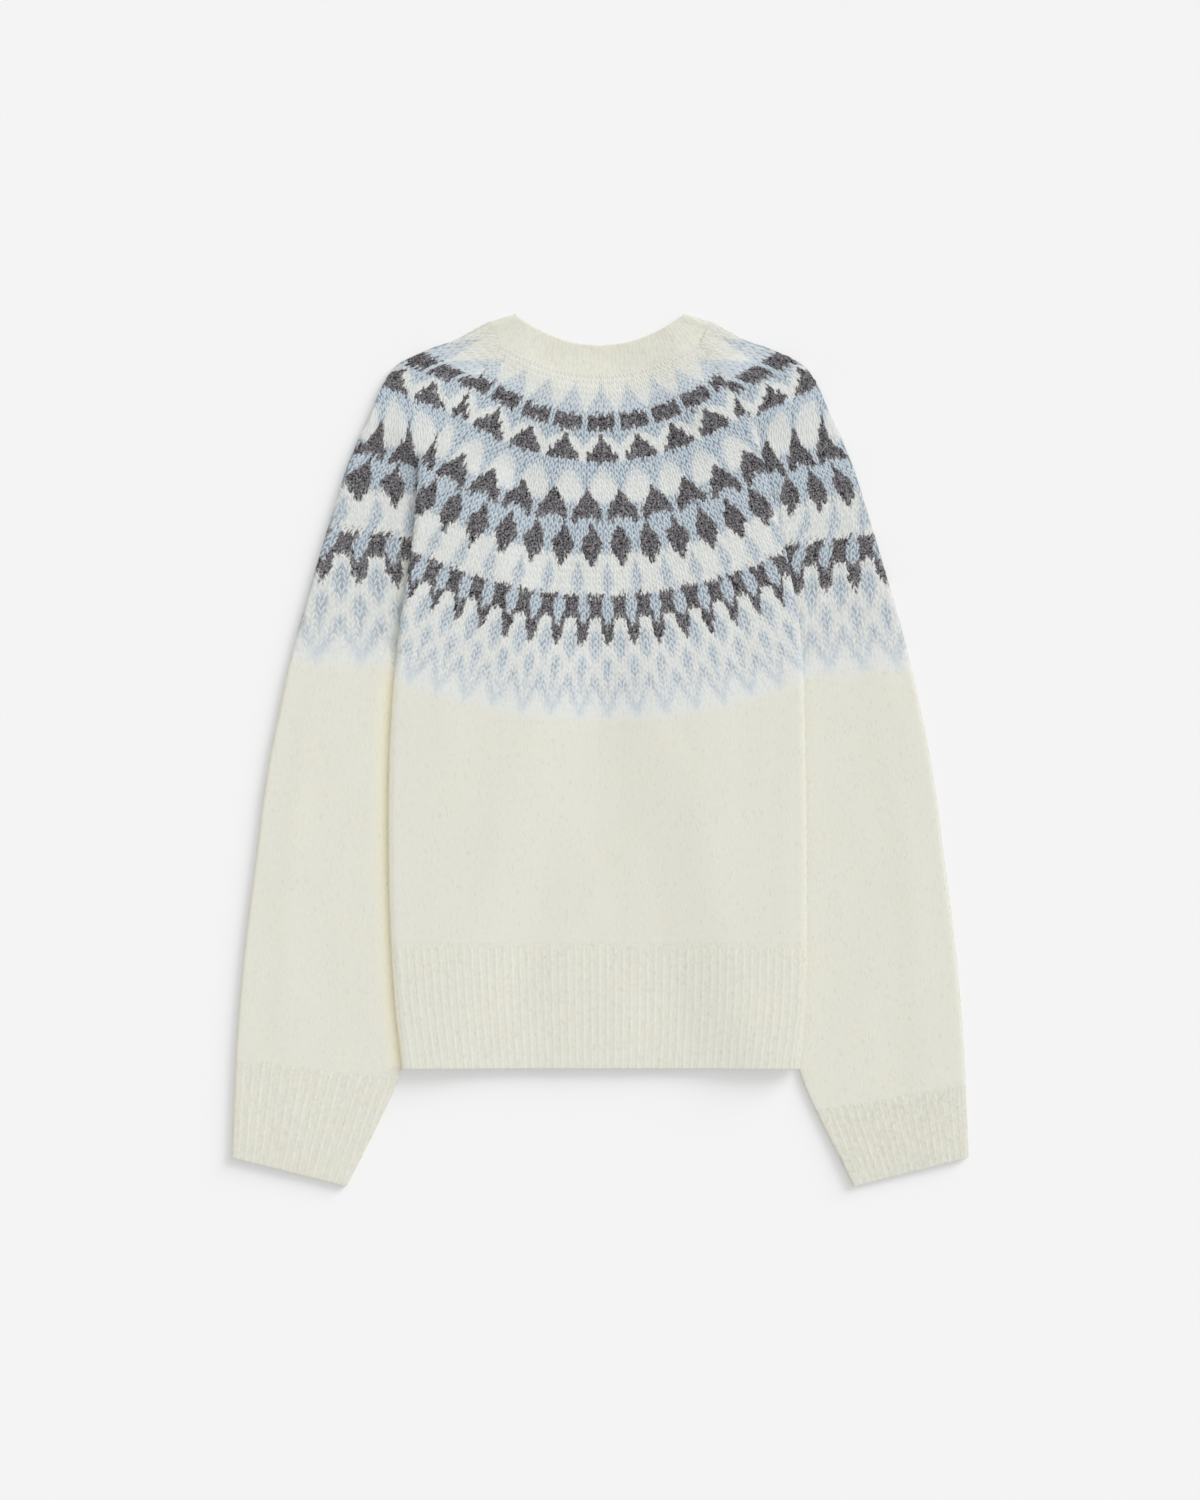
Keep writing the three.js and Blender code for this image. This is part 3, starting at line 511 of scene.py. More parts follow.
def dye_floats(wale, down, shade):
    """Point values that the wool's material reads."""
    dye = dye_at(wale, down)
    return {
        "Blue": np.where(dye == CHARCOAL, 0.0, blue_share(wale, down)),
        "Charcoal": (dye == CHARCOAL).astype(float),
        "Yoke": yoke_share(down),
        "Shade": shade,
    }


# Painted light: the wool's colour is made lighter and warmer where light would scatter into the shade beside
# the body's left fold, and at the left sleeve's edge.
PAINTED_GLOW = {"from": 2.0, "wide": 15.0, "fade": 120.0, "rim": 4.0, "rim share": 0.5}
PRESS = {  # share of thickness at the first and last column of a whole back, or of a front
    None: (SEAM_PRESS, SEAM_PRESS), "left": (SEAM_PRESS, 1.0), "right": (1.0, SEAM_PRESS),
}
OPEN_TOP_SHADE = 1.4  # painted shade: how much darker the gaps are in the back's open courses
PLAIN_DOWN = 2 * YOKE_END  # a course well below the yoke, where the wool is cream
HOLES = {"last": 11.0, "fade": 5.0}  # where that painted shade ends, below the neck seam
RIB_GAP_SHADE = -1.0  # painted light: under 0 it lightens a rib all over, which makes up for the painted shade in its grooves


def glow(verts):
    """How much of that painted light each point gets."""
    beyond = -verts[:, 0] - FOLD_AT["left"](verts[:, 1])
    near = np.where(beyond > -PAINTED_GLOW["from"], smooth(1 - beyond / PAINTED_GLOW["wide"]), 0.0)
    near = near * smooth((FOLD_START["left"] - verts[:, 1]) / PAINTED_GLOW["fade"]) * (verts[:, 1] > HEM_END)
    outer = np.interp(verts[:, 1], SLEEVE_OUTER["y"][::-1], SLEEVE_OUTER["x"][::-1])
    rim = smooth((-verts[:, 0] - outer + PAINTED_GLOW["rim"]) / PAINTED_GLOW["rim"]) * (verts[:, 1] < SLEEVE_OUTER["y"][0])
    return np.maximum(near, PAINTED_GLOW["rim share"] * rim)


class Cloth:
    """One piece of knit: the grid of its middle surface, the chart on it, and its two faces."""

    def __init__(
        self, grid, wale, down, relief=0.0, press=(1.0, 1.0), plain=False, hand=1, thin=1.0,
        open_top_shade=0.0, rib=0.0,
    ):
        """`press` and `thin` share out the thickness across and down, `rib` counts ribs for the painted
        shade in their grooves.
        """
        self.grid, self.wale, self.down = grid, wale, down
        self.plain, self.open_top_shade = plain, open_top_shade
        self.knit = np.stack([wale if plain else wale * fan(down), down], -1)
        self.rib = np.zeros(grid.shape[:2]) + rib
        normal = np.cross(np.gradient(grid, axis=0) * [1, 1, 0], np.gradient(grid, axis=1))
        self.normal = unit(normal) * hand
        keep = np.ones(grid.shape[:2])
        keep[:, 0], keep[:, -1] = press
        keep = keep * np.reshape(thin, (-1, 1))
        self.outer = grid + self.normal * (keep * WALL / 2 + relief)[..., None]
        self.inner = grid - self.normal * (keep * WALL / 2)[..., None]

    def build(self, name, material, solid=None):
        """The mesh, closed all round its edges; `solid` leaves out the cells of an opening."""
        rows, columns = self.grid.shape[:2]
        index = np.arange(rows * columns).reshape(rows, columns)
        far = rows * columns
        cloth = np.ones((rows - 1, columns - 1), bool) if solid is None else solid
        one, two, three, four = quads_of(index)
        faces = [
            np.stack([one, two, three, four], -1)[cloth],
            np.stack([one, four, three, two], -1)[cloth] + far,
        ]
        wide = np.pad(cloth, 1)
        for beside, a, b in (
            (wide[:-2, 1:-1], one, four),
            (wide[2:, 1:-1], three, two),
            (wide[1:-1, :-2], two, one),
            (wide[1:-1, 2:], four, three),
        ):
            edge = cloth & ~beside
            faces.append(np.stack([a[edge], b[edge], b[edge] + far, a[edge] + far], -1))
        verts = np.concatenate([self.outer.reshape(-1, 3), self.inner.reshape(-1, 3)])
        knit = np.tile(self.knit.reshape(-1, 2) * MM, (2, 1))
        wale, down = np.tile(self.wale.ravel(), 2), np.tile(self.down.ravel(), 2)
        floats = dye_floats(wale, np.where(self.plain, PLAIN_DOWN, down), np.full(len(wale), 0.5))
        # painted shade: the cloth under the yoke's stitches is darker in the gaps between them, most in blue
        # where it is partly the dark yarn carried behind, and in the back's open courses by the neck; ribs
        # get a painted lightening instead
        hole_shade = self.open_top_shade * smooth((HOLES["last"] - down) / HOLES["fade"])
        ribbed = np.full(len(wale), RIB_GAP_SHADE * (np.ptp(self.rib) > 0))
        floats["GapShade"] = ribbed if self.plain else smooth((YOKE_END - 4 - down) / 30.0) + hole_shade
        # painted light beside the left fold and at the left sleeve's edge
        floats["PaintedGlow"] = glow(verts)
        floats["Rib"] = np.tile(self.rib.ravel(), 2)
        obj = new_object(name, verts, faces, {"Knit": knit}, floats, material)
        outwards(obj)
        return obj


def outwards(obj):
    """Turns the faces of a closed mesh to point out."""
    mesh = obj.data
    mesh.calc_loop_triangles()
    corners = np.empty(len(mesh.loop_triangles) * 3, np.int32)
    mesh.loop_triangles.foreach_get("vertices", corners)
    place = np.empty(len(mesh.vertices) * 3, np.float32)
    mesh.vertices.foreach_get("co", place)
    a, b, c = np.moveaxis(place.reshape(-1, 3)[corners.reshape(-1, 3)].astype(float), 1, 0)
    if np.einsum("ij,ij->i", a, np.cross(b, c)).sum() < 0:
        mesh.flip_normals()


def worn(obj, nodes):
    """Puts a piece on the one body, in place of its plain nodes."""
    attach(obj, "root")
    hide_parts(*nodes)
    return obj


# ---- the body -----------------------------------------------------------------------------------
FLAT, FRONT_FLAT, TURN, FLAP = 50, 30, 9, 4  # steps across each half of the body
HEM_FLAT = {"back": 190, "front": 120}  # more of them across the hem, for its ribs
CAP_STEPS, BODY_STEPS, HEM_STEPS = 78, 58, 26  # and down it
ROUND_OFF = np.array([1.0, 0.55, 0.2, 0.0])  # distances from a free edge
ROUND_KEEP = np.array([1.0, 0.9, 0.62, 0.2])  # and the share of thickness there


def rounded_rows(grid):
    """Extra rows near the last one, so that a free edge is round. Returns the grid and its thickness."""
    step = np.linalg.norm(grid[-1] - grid[-2], axis=1).mean()
    near = [mix(grid[-1], grid[-2], off / step) for off in ROUND_OFF]
    keep = np.concatenate([np.ones(len(grid) - 1), ROUND_KEEP])
    return np.concatenate([grid[:-1], near]), keep


def body_levels(layer):
    """Rows of a panel: height at the centre line, and at the left and right cut edge."""
    middle, corner = NECK_LEVEL[layer]
    place = np.linspace(0, CAP_PLACE[-1], CAP_STEPS + 1)
    left, right = CAP_AT["left"](place), CAP_AT["right"](place)
    share = (RAGLAN_TOP[1] - (left + right) / 2) / (RAGLAN_TOP[1] - UNDERARM[1])
    lower = (RAGLAN_TOP[1] - corner) * np.maximum(0, 1 - place)
    below = mix(UNDERARM[1], HEM_SEAM + STITCHED / 2, np.linspace(0, 1, BODY_STEPS + 1)[1:])
    return (
        np.append(mix(middle, UNDERARM[1], share), below),
        {"left": np.append(left - lower, below), "right": np.append(right - lower, below)},
    )


def hem_levels():
    """The same for the hem's rib."""
    y = np.linspace(HEM_SEAM - STITCHED / 2, HEM_END, HEM_STEPS + 1)
    return y, {"left": y, "right": y}


def half_panel(side, layer, middle, edge, start, flat):
    """Cut pattern and lie of one half of the body: x, y on the cut, and the point it comes to."""
    x = across_places(side, edge, start, flat, TURN, FLAP)
    y = mix(middle[:, None], edge[:, None], (x / cut_half_width(edge)[:, None]) ** 2)
    lies, z, _ = body_point(side, layer, x, y)
    sign = SIDES[side]
    return np.stack([sign * x, y], -1), np.stack([sign * lies, y, z], -1)


def panel(layer, levels, half=None, flat=FLAT):
    """A whole back, or one front, as its cut pattern and its points, running to +X."""
    middle, edges = levels
    start = 0.0 if layer == "back" else BAND_WIDTH / 2 + STITCHED
    halves = {side: half_panel(side, layer, middle, edges[side], start, flat) for side in SIDES}
    if half == "left":
        return tuple(grid[:, ::-1] for grid in halves["left"])
    if half == "right":
        return halves["right"]
    return tuple(
        np.concatenate([left[:, ::-1], right[:, 1:]], axis=1)
        for left, right in zip(halves["left"], halves["right"])
    )


def panel_cut(cut):
    """Flat size and area of a panel, in metres, from its cut pattern."""
    a, b, c, d = quads_of(cut)
    one, two = c - a, d - b
    area = float(np.abs(one[..., 0] * two[..., 1] - one[..., 1] * two[..., 0]).sum() / 2)
    span = cut.reshape(-1, 2).max(0) - cut.reshape(-1, 2).min(0)
    return {"flat": (float(span[0]) * MM, float(span[1]) * MM), "area": area * MM * MM}


def tube_cut(grid):
    """Flat size and area of a sleeve, cuff or neckband, in metres, from its middle surface."""
    rows = np.linalg.norm(np.diff(grid, axis=1), axis=2).sum(1)
    columns = np.linalg.norm(np.diff(grid, axis=0), axis=2).sum(0)
    a, b, c, d = quads_of(grid)
    area = np.linalg.norm(np.cross(c - a, d - b), axis=2).sum() / 2
    return {"flat": (float(rows.max()) * MM, float(columns.max()) * MM), "area": float(area) * MM * MM}


RIB_FLATNESS = 0.7  # under 1 the ribs are broad and the grooves steep


def ribs(count, height):
    """Relief of ribbing; `count` is how many ribs lie before each point."""
    wave = np.cos(2 * math.pi * count)
    return height * (np.sign(wave) * np.abs(wave) ** RIB_FLATNESS)


# ---- sleeves and cuffs ----------------------------------------------------------------------------
TUCK, ROLL = 6, 10  # steps round a sleeve's inner edge and its outer fold
SLEEVE_TOP, SLEEVE_UNDER, SLEEVE_STEPS = 46, 30, 84
CUFF_TOP, CUFF_UNDER, CUFF_STEPS = 150, 90, 22
SEAM_ALLOWANCE = 1.15  # straight cloth at a raglan seam before it turns
TUBE_FROM = 0.2  # share of the sleeve below the underarm where it has become a plain tube
UNDER_SPACING = 1.5  # over 1 the underside's points are closer together near its inner edge


def heading(start, end):
    """Direction from one place to another, from above."""
    away = np.array([end[0] - start[0], end[1] - start[1]], float)
    return away / np.linalg.norm(away)


def tuck_at_seam(side, layer, seam_y, out):
    """The sleeve's edge at the raglan seam, carrying on from the body's cut edge."""
    x, z, angle = (float(v) for v in body_point(side, layer, cut_half_width(seam_y), seam_y))
    radius = TURN_FRONT if layer == "back" else TURN_BACK
    straight = TUCK_LEAST * (1 - angle / math.pi)
    ends = (STITCHED, SEAM_ALLOWANCE)
    ahead = [np.array([x + d * math.cos(angle), seam_y, z - d * math.sin(angle)]) for d in ends]
    centre_x = ahead[1][0] + radius * math.sin(angle)
    centre_z = ahead[1][2] + radius * math.cos(angle)
    points = [ahead[0]]
    for t in np.linspace(0, 1, TUCK):
        turned = angle * (1 - t)
        lies = np.array([centre_x - radius * math.sin(turned), seam_y]) + out * straight * t
        points.append(np.array([*lies, max(FLOOR_PLY, centre_z - radius * math.cos(turned))]))
    return np.array(points)


def tuck_in_tube(inner, out, roll, sign):
    """Half of a tube's inner fold: the upper one with sign 1, the under one with -1."""
    angle = np.linspace(STITCHED / 2 / roll, math.pi / 2, TUCK + 1)
    along = roll * (1 - np.cos(angle)) + WALL / 2
    lies = np.array(inner) + out * along[:, None]
    return np.column_stack([lies, FLOOR_PLY + roll + sign * roll * np.sin(angle)])


def sleeve_row(outer, top_tuck, under_tuck, rise, steps):
    """One ring of a sleeve: upper inner edge, top, outer fold, underside, under inner edge."""
    top, under = top_tuck[-1], under_tuck[-1]
    out = heading(top, outer)
    axis = np.array(outer) - out * (EDGE_ROLL + WALL / 2)
    t = np.linspace(0, 1, steps[0] + 1)[1:, None]
    lies = mix(top[:2], axis, t)
    climbed = smooth(t[:, 0]) if rise is None else smooth((lies[:, 0] - rise) / (axis[0] - rise))
    upper = np.column_stack([lies, mix(top[2], FLOOR_PLY + 2 * EDGE_ROLL, climbed)])
    angle = math.pi * (0.5 - np.arange(1, ROLL + 1) / ROLL)
    rolled = np.column_stack(
        [axis + out * EDGE_ROLL * np.cos(angle)[:, None], FLOOR_PLY + EDGE_ROLL * (1 + np.sin(angle))]
    )
    share = 1 - (1 - np.linspace(0, 1, steps[1] + 1)[1:, None]) ** UNDER_SPACING
    back = mix(axis, under[:2], share)
    near = smooth(1 - np.linalg.norm(back - under[:2], axis=1) / EASE["front"][1])
    lower = np.column_stack([back, mix(FLOOR_PLY, under[2], near)])
    return np.concatenate([top_tuck, upper, rolled, lower, under_tuck[-2::-1]])


def cap_row(side, place, steps):
    """A ring above the underarm, whose two edges lie along the raglan seams."""
    outer = (float(CAP_AT["x"](place)), float(CAP_AT["y"](place)))
    seam = float(CAP_AT[side](place))
    front_seam = seam - (RAGLAN_TOP[1] - NECK_LEVEL["front"][1]) * max(0.0, 1 - place)
    out = heading((float(edge_lies(side, seam)), seam), outer)
    folded = cut_half_width(seam) > fold_axis(side, seam) + TURN_BACK
    rise = float(FOLD_AT[side](seam)) + CLEAR_OF_BODY if folded else None
    top, under = tuck_at_seam(side, "back", seam, out), tuck_at_seam(side, "front", front_seam, out)
    return sleeve_row(outer, top, under, rise, steps)


def underarm_row(side, steps):
    """The ring at the underarm, where the sleeve closes."""
    outer = (SLEEVE_CAP["x"][-1], SLEEVE_CAP["y"][-1])
    x = float(edge_lies(side, UNDERARM[1])) + TUCK_LEAST * np.linspace(0, 1, TUCK + 1)
    y = np.full(TUCK + 1, UNDERARM[1])
    tucks = [np.column_stack([x, y, np.full(TUCK + 1, z)]) for z in (FLOOR_PLY + PLY, FLOOR_PLY)]
    return sleeve_row(outer, *tucks, float(FOLD_AT[side](UNDERARM[1])) + CLEAR_OF_BODY, steps)


def tube_row(side, outer_y, inner_y, roll, steps):
    """A ring below the underarm, held flat beside the body as far as the hem."""
    outer = (float(OUTER_AT(outer_y)), outer_y)
    inner = (float(INNER_AT(inner_y)), inner_y)
    out = heading(inner, outer)
    rise = float(FOLD_AT[side](inner_y)) + CLEAR_OF_BODY
    under_body = float(smooth((inner_y - HEM_END) / HEM_CLEAR + 0.5))
    tucks = [tuck_in_tube(inner, out, roll, sign) for sign in (1, -1)]
    held, free = (sleeve_row(outer, *tucks, at, steps) for at in (rise, None))
    return mix(free, held, under_body)


def sleeve_grid(side):
    """A sleeve's rings from the neck to the cuff's seam, on the side of +X."""
    steps = (SLEEVE_TOP, SLEEVE_UNDER)
    last = CAP_PLACE[-1] - 1
    places = np.linspace(0, last, round(CAP_STEPS * last / CAP_PLACE[-1]))
    rows = [cap_row(side, place, steps) for place in places]
    underarm = underarm_row(side, steps)
    rows += [mix(rows[-1], underarm, t) for t in (0.25, 0.5, 0.75, 1.0)]
    cuff_outer, cuff_inner = CUFF[side]
    for t in np.linspace(0, 1, SLEEVE_STEPS + 1)[1:]:
        at = max(t, TUBE_FROM)
        outer_y, inner_y = mix(SLEEVE_CAP["y"][-1], cuff_outer, at), mix(UNDERARM[1], cuff_inner, at)
        row = tube_row(side, outer_y, inner_y, TURN_FRONT, steps)
        rows.append(row if t >= TUBE_FROM else mix(underarm, row, t / TUBE_FROM))
    return np.array(rows)


def cuff_grid(side):
    """A cuff's rings from its seam to its free edge, on the side of +X."""
    (outer_y, inner_y), (outer_end, inner_end) = CUFF[side], CUFF["end"]
    rows = []
    for t in np.linspace(0, 1, CUFF_STEPS + 1):
        roll = mix(TURN_FRONT, CUFF_ROLL, float(smooth(t)))
        ends = mix(outer_y - STITCHED, outer_end, t), mix(inner_y - STITCHED, inner_end, t)
        rows.append(tube_row(side, *ends, roll, (CUFF_TOP, CUFF_UNDER)))
    return np.array(rows)


def unrolled_x(grid, top_steps):
    """x carried on past the outer fold, row by row, as if the under layer were opened out."""
    fold = TUCK + top_steps + ROLL // 2
    step = np.linalg.norm(np.diff(grid[:, :, :2], axis=1), axis=2)
    x = grid[:, :, 0].copy()
    x[:, fold + 1:] = x[:, fold:fold + 1] + np.cumsum(step[:, fold:], axis=1)
    return x


# ---- neckband -------------------------------------------------------------------------------------
NECK_STEPS, NECK_ROWS = 170, 9  # steps round each half, and from the seam to the free edge
NECK_CORNER = 0.2  # share of a half that is sewn to the sleeve, next to the shoulder
NECK_INSET = 1.1  # how far outside the raglan the sleeve's share of the neck seam ends
NECK_EASE = 0.14  # share of a half over which the columns make room for the shoulder's turn
NECK_ROOM = (0.0345, 0.077)  # that room, at the seam and at the free edge
NECK_TIP = 0.5  # share of its roll that the turn loses at its free edge, for a round tip
NECK_FREE_AT = {
    layer: {key: curve(np.linspace(0, 1, len(rows["x"])), rows[key]) for key in rows}
    for layer, rows in NECK_FREE.items()
}
SHOULDER = heading(
    (NECK_FREE["back"]["x"][0], NECK_FREE["back"]["y"][0]), (SLEEVE_CAP["x"][0], SLEEVE_CAP["y"][0])
)


def neck_columns(layer, at):
    """The neckband from above: rows from its seam to its free edge, a column for each share of a half."""
    corner = float(cut_half_width(NECK_LEVEL[layer][1]))
    middle = 0.0 if layer == "back" else BAND_WIDTH / 2 + STITCHED
    across = np.linspace(0, 1, NECK_ROWS + 1)[:, None]
    at = at + mix(*NECK_ROOM, across) * (1 - smooth(at / NECK_EASE))
    t = at / NECK_CORNER
    beyond = mix(corner, middle, (at - NECK_CORNER) / (1 - NECK_CORNER))
    bow = mix(*NECK_LEVEL[layer], (beyond / corner) ** 2)
    seam_x = np.where(t < 1, mix(SLEEVE_CAP["x"][0], corner + NECK_INSET, t), beyond)
    seam_y = np.where(t < 1, mix(SLEEVE_CAP["y"][0], NECK_LEVEL[layer][1], t), bow)
    free_x, free_y = NECK_FREE_AT[layer]["x"](at), NECK_FREE_AT[layer]["y"](at)
    share = mix(STITCHED / np.hypot(seam_x - free_x, seam_y - free_y), 1.0, across)
    return mix(seam_x, free_x, share), mix(seam_y, free_y, share)


def neck_half(side):
    """Half of the neckband, from the front's middle round the shoulder to the back's."""
    roll_top = FLOOR_PLY + 2 * EDGE_ROLL
    across = np.linspace(0, 1, NECK_ROWS + 1)[:, None]
    x, y = neck_columns("front", np.linspace(1, 0, NECK_STEPS + 1)[:-1])
    front = np.stack([x, y, front_height(side, x, y)], -1)
    x, y = neck_columns("back", np.array([0.0]))
    angle = np.linspace(-math.pi / 2, math.pi / 2, ROLL + 1)
    reach = EDGE_ROLL * np.cos(angle) * (1 - NECK_TIP * smooth((across - 0.5) / 0.5))
    z = np.broadcast_to(FLOOR_PLY + EDGE_ROLL * (1 + np.sin(angle)), (len(x), ROLL + 1))
    turn = np.stack([x - SHOULDER[1] * reach, y + SHOULDER[0] * reach, z], -1)
    at = np.linspace(0, 1, NECK_STEPS + 1)[1:]
    x, y = neck_columns("back", at)
    run = math.hypot(SLEEVE_CAP["x"][0] - RAGLAN_TOP[0] - NECK_INSET, SLEEVE_CAP["y"][0] - RAGLAN_TOP[1])
    from_outer = (at + NECK_ROOM[0] * (1 - smooth(at / NECK_EASE))) / NECK_CORNER
    climb = smooth(((1 - from_outer) * run - TUCK_LEAST) / (run - TUCK_LEAST - EDGE_ROLL - WALL / 2))
    rolled = mix(climb, smooth(NECK_FREE_AT["back"]["roll"](at)), smooth(across))
    back = np.stack([x, y, mix(back_height(side, x, y), roll_top, rolled)], -1)
    return np.concatenate([front, turn, back], axis=1) * [SIDES[side], 1, 1]


def distance_along(grid, row):
    """How far along a row each of its points is."""
    step = np.linalg.norm(np.diff(grid[row], axis=0), axis=1)
    return np.concatenate([[0], np.cumsum(step)])


# ---- yarn and nap ----------------------------------------------------------------------------------
class Skin:
    """The outside of a piece of cloth as triangles, to lay yarn and fibres on."""

    def __init__(self, cloth, columns=slice(None), lowest=-0.3):
        """Leaves out the cells whose normal rises less than `lowest`."""
        outer, wale, down = cloth.outer[:, columns], cloth.wale[:, columns], cloth.down[:, columns]
        rows, wide = wale.shape
        index = np.arange(rows * wide).reshape(rows, wide)
        quads = np.stack(quads_of(index), -1).reshape(-1, 4)
        self.place = outer.reshape(-1, 3)
        self.normal = cloth.normal[:, columns].reshape(-1, 3)
        course = unit(np.gradient(outer, axis=0))
        self.course = course.reshape(-1, 3)
        self.chart = np.stack([wale, down], -1).reshape(-1, 2)
        quads = quads[self.normal[quads, 2].mean(1) > lowest]
        self.corners = np.concatenate([quads[:, :3], quads[:, [0, 2, 3]]])
        a, b, c = (self.place[self.corners[:, k]] for k in range(3))
        self.area = np.linalg.norm(np.cross(b - a, c - a), axis=1) / 2

    def blend(self, face, weight):
        """Place, normal, course direction and chart at weights inside each face."""
        corners, share = self.corners[face], weight[:, :, None]
        skin = (self.place, self.normal, self.course, self.chart)
        place, normal, course, chart = ((values[corners] * share).sum(1) for values in skin)
        return place, unit(normal), unit(course), chart

    def scatter(self, rng, count, weight):
        """The same at random places, more of them where `weight` of the chart and normal is more."""
        share = self.area * weight(self.chart[self.corners].mean(1), self.normal[self.corners].mean(1))
        face = rng.choice(len(self.area), count, p=share / share.sum())
        one, two = rng.random(count), rng.random(count)
        over = one + two > 1
        one[over], two[over] = 1 - one[over], 1 - two[over]
        return self.blend(face, np.column_stack([1 - one - two, one, two]))

    def at_chart(self, chart):
        """Place and normal nearest to each (wale, down), and how far off the skin that is."""
        flat = [Vector((float(w), float(d), 0.0)) for w, d in self.chart]
        tree = BVHTree.FromPolygons(flat, self.corners.tolist(), all_triangles=True)
        near = [tree.find_nearest(Vector((float(w), float(d), 0.0))) for w, d in chart]
        chart = np.array([[hit[0].x, hit[0].y] for hit in near])
        face = np.array([hit[2] for hit in near])
        off = np.array([hit[3] for hit in near])
        a, b, c = (self.chart[self.corners[face, k]] for k in range(3))
        e, f, g = b - a, c - a, chart - a
        whole = e[:, 0] * f[:, 1] - e[:, 1] * f[:, 0]
        whole = np.where(np.abs(whole) < 1e-9, 1.0, whole)
        one = (g[:, 0] * f[:, 1] - g[:, 1] * f[:, 0]) / whole
        two = (e[:, 0] * g[:, 1] - e[:, 1] * g[:, 0]) / whole
        place, normal, _, _ = self.blend(face, np.column_stack([1 - one - two, one, two]))
        return place, normal, off


# The yoke has fewer wales further up, band by band down it.
WALE_BANDS = (  # from, to, width of a wale, and how far its wales are shifted, in wales
    (-8, 68, 50 / 6, 0), (68, 90, 38.6 / 6, 0), (90, 117, 35.7 / 6, 0), (117, 150, 26.5 / 5, 0.5),
    (150, 171, 24.6 / 5, 0), (171, 197, 18.56 / 4, 0.5), (197, 214, 17.8 / 4, 0.5), (214, 290, 17.8 / 4, 0),
)


def cells(count, inside):
    """Places in a square of texture cells, one cell for each strand; `inside` is in one cell."""
    side = math.ceil(math.sqrt(count))
    index = np.arange(count)
    corner = np.column_stack([index % side, index // side]) / side
    return (corner[:, None] + inside[None] * (1 / side)).reshape(-1, 2)


def facing(obj):
    """Turns an open mesh of strands over if most of its faces point into the cloth."""
    mesh = obj.data
    normals = np.empty(len(mesh.polygons) * 3, np.float32)
    mesh.polygons.foreach_get("normal", normals)
    if float(normals.reshape(-1, 3)[:, 2].mean()) < 0:
        mesh.flip_normals()
    return obj


ALONG, ACROSS = 5, 3  # points along a leg of a stitch, and across it
LEG = ALONG * ACROSS
LEG_RISE = np.array([-0.3, 0.6, 1.0, 1.05, 0.5])  # height along a leg, beside its highest
LEG_WIDTH = np.array([0.36, 0.5, 0.52, 0.48, 0.3])  # half-width along a leg, beside the yarn's width
LEG_SPREAD = (0.40, 0.11)  # from its wale's middle to a leg's start and end, in wales
LEG_LENGTH = 1.25  # in courses
FIRST_COURSE = 0.3  # where the first course lies in its band, in courses
SUNK = 0.1  # a leg's sides lie this far inside the cloth
OWN_WALE, OWN_DOWN = 0.85, 0.8  # how far a leg's colour follows its own length across and down
# How much legs differ: place in widths of a wale and a course, wale and down of the colour in
# millimetres, lightness, and depth of blue about its mean.
UNEVEN = {"place": 0.12, "wale": 0.25, "down": 1.25, "shade": 0.16, "blue": (0.97, 0.2)}
FLAT_WHITE, FLAT_BRUSHED = 0.22, 0.45  # how much flatter legs are in white, and where well brushed
BRUSHED = {"from": 14, "full": 8, "to": 40, "fade": 10}  # where it is well brushed, down the yoke
FILLED = {"from": 185, "full": 40}  # legs are lower and wider below this
FADING = {"past": 18, "length": 45}  # and sink into the felted cream past the yoke's end


def leg_rows(low, high, course):
    """Each leg of each V between two corners of the chart: wale, down, width of the wale, hand."""
    legs = []
    for first, last, wide, offset in WALE_BANDS:
        wales = (np.arange(math.floor(low[0] / wide), high[0] / wide) + offset) * wide
        downs = np.arange(max(first, low[1]) + course * FIRST_COURSE, min(last, high[1]), course)
        if len(downs):
            w, d = (values.ravel() for values in np.meshgrid(wales, downs))
            for hand in (-1, 1):
                legs.append(np.column_stack([w, d, np.full(w.size, wide), np.full(w.size, hand)]))
    return np.concatenate(legs)


def leg_shape(chart, yarn):
    """Height and half-width along each leg: flatter in white wool, where it is brushed, and below."""
    wale, down = chart.T
    fade = smooth((YOKE_END + FADING["past"] - down) / FADING["length"])[:, None, None]
    filled = smooth((down - FILLED["from"]) / FILLED["full"])[:, None, None]
    white = (dye_at(wale, down) == WHITE)[:, None, None]
    brushed = smooth((down - BRUSHED["from"]) / BRUSHED["full"])
    brushed = brushed * smooth((BRUSHED["to"] - down) / BRUSHED["fade"])
    flat = np.maximum(FLAT_WHITE * white, FLAT_BRUSHED * brushed[:, None, None])
    rise = LEG_RISE[None, :, None] * yarn * mix(0.46, 0.32, filled) * (1 - flat) * fade
    half = LEG_WIDTH[None, :, None] * yarn * mix(1.0, 1.2, filled) * (1 + 0.3 * flat)
    return rise, half, 0.5 * (1 - fade) ** 2


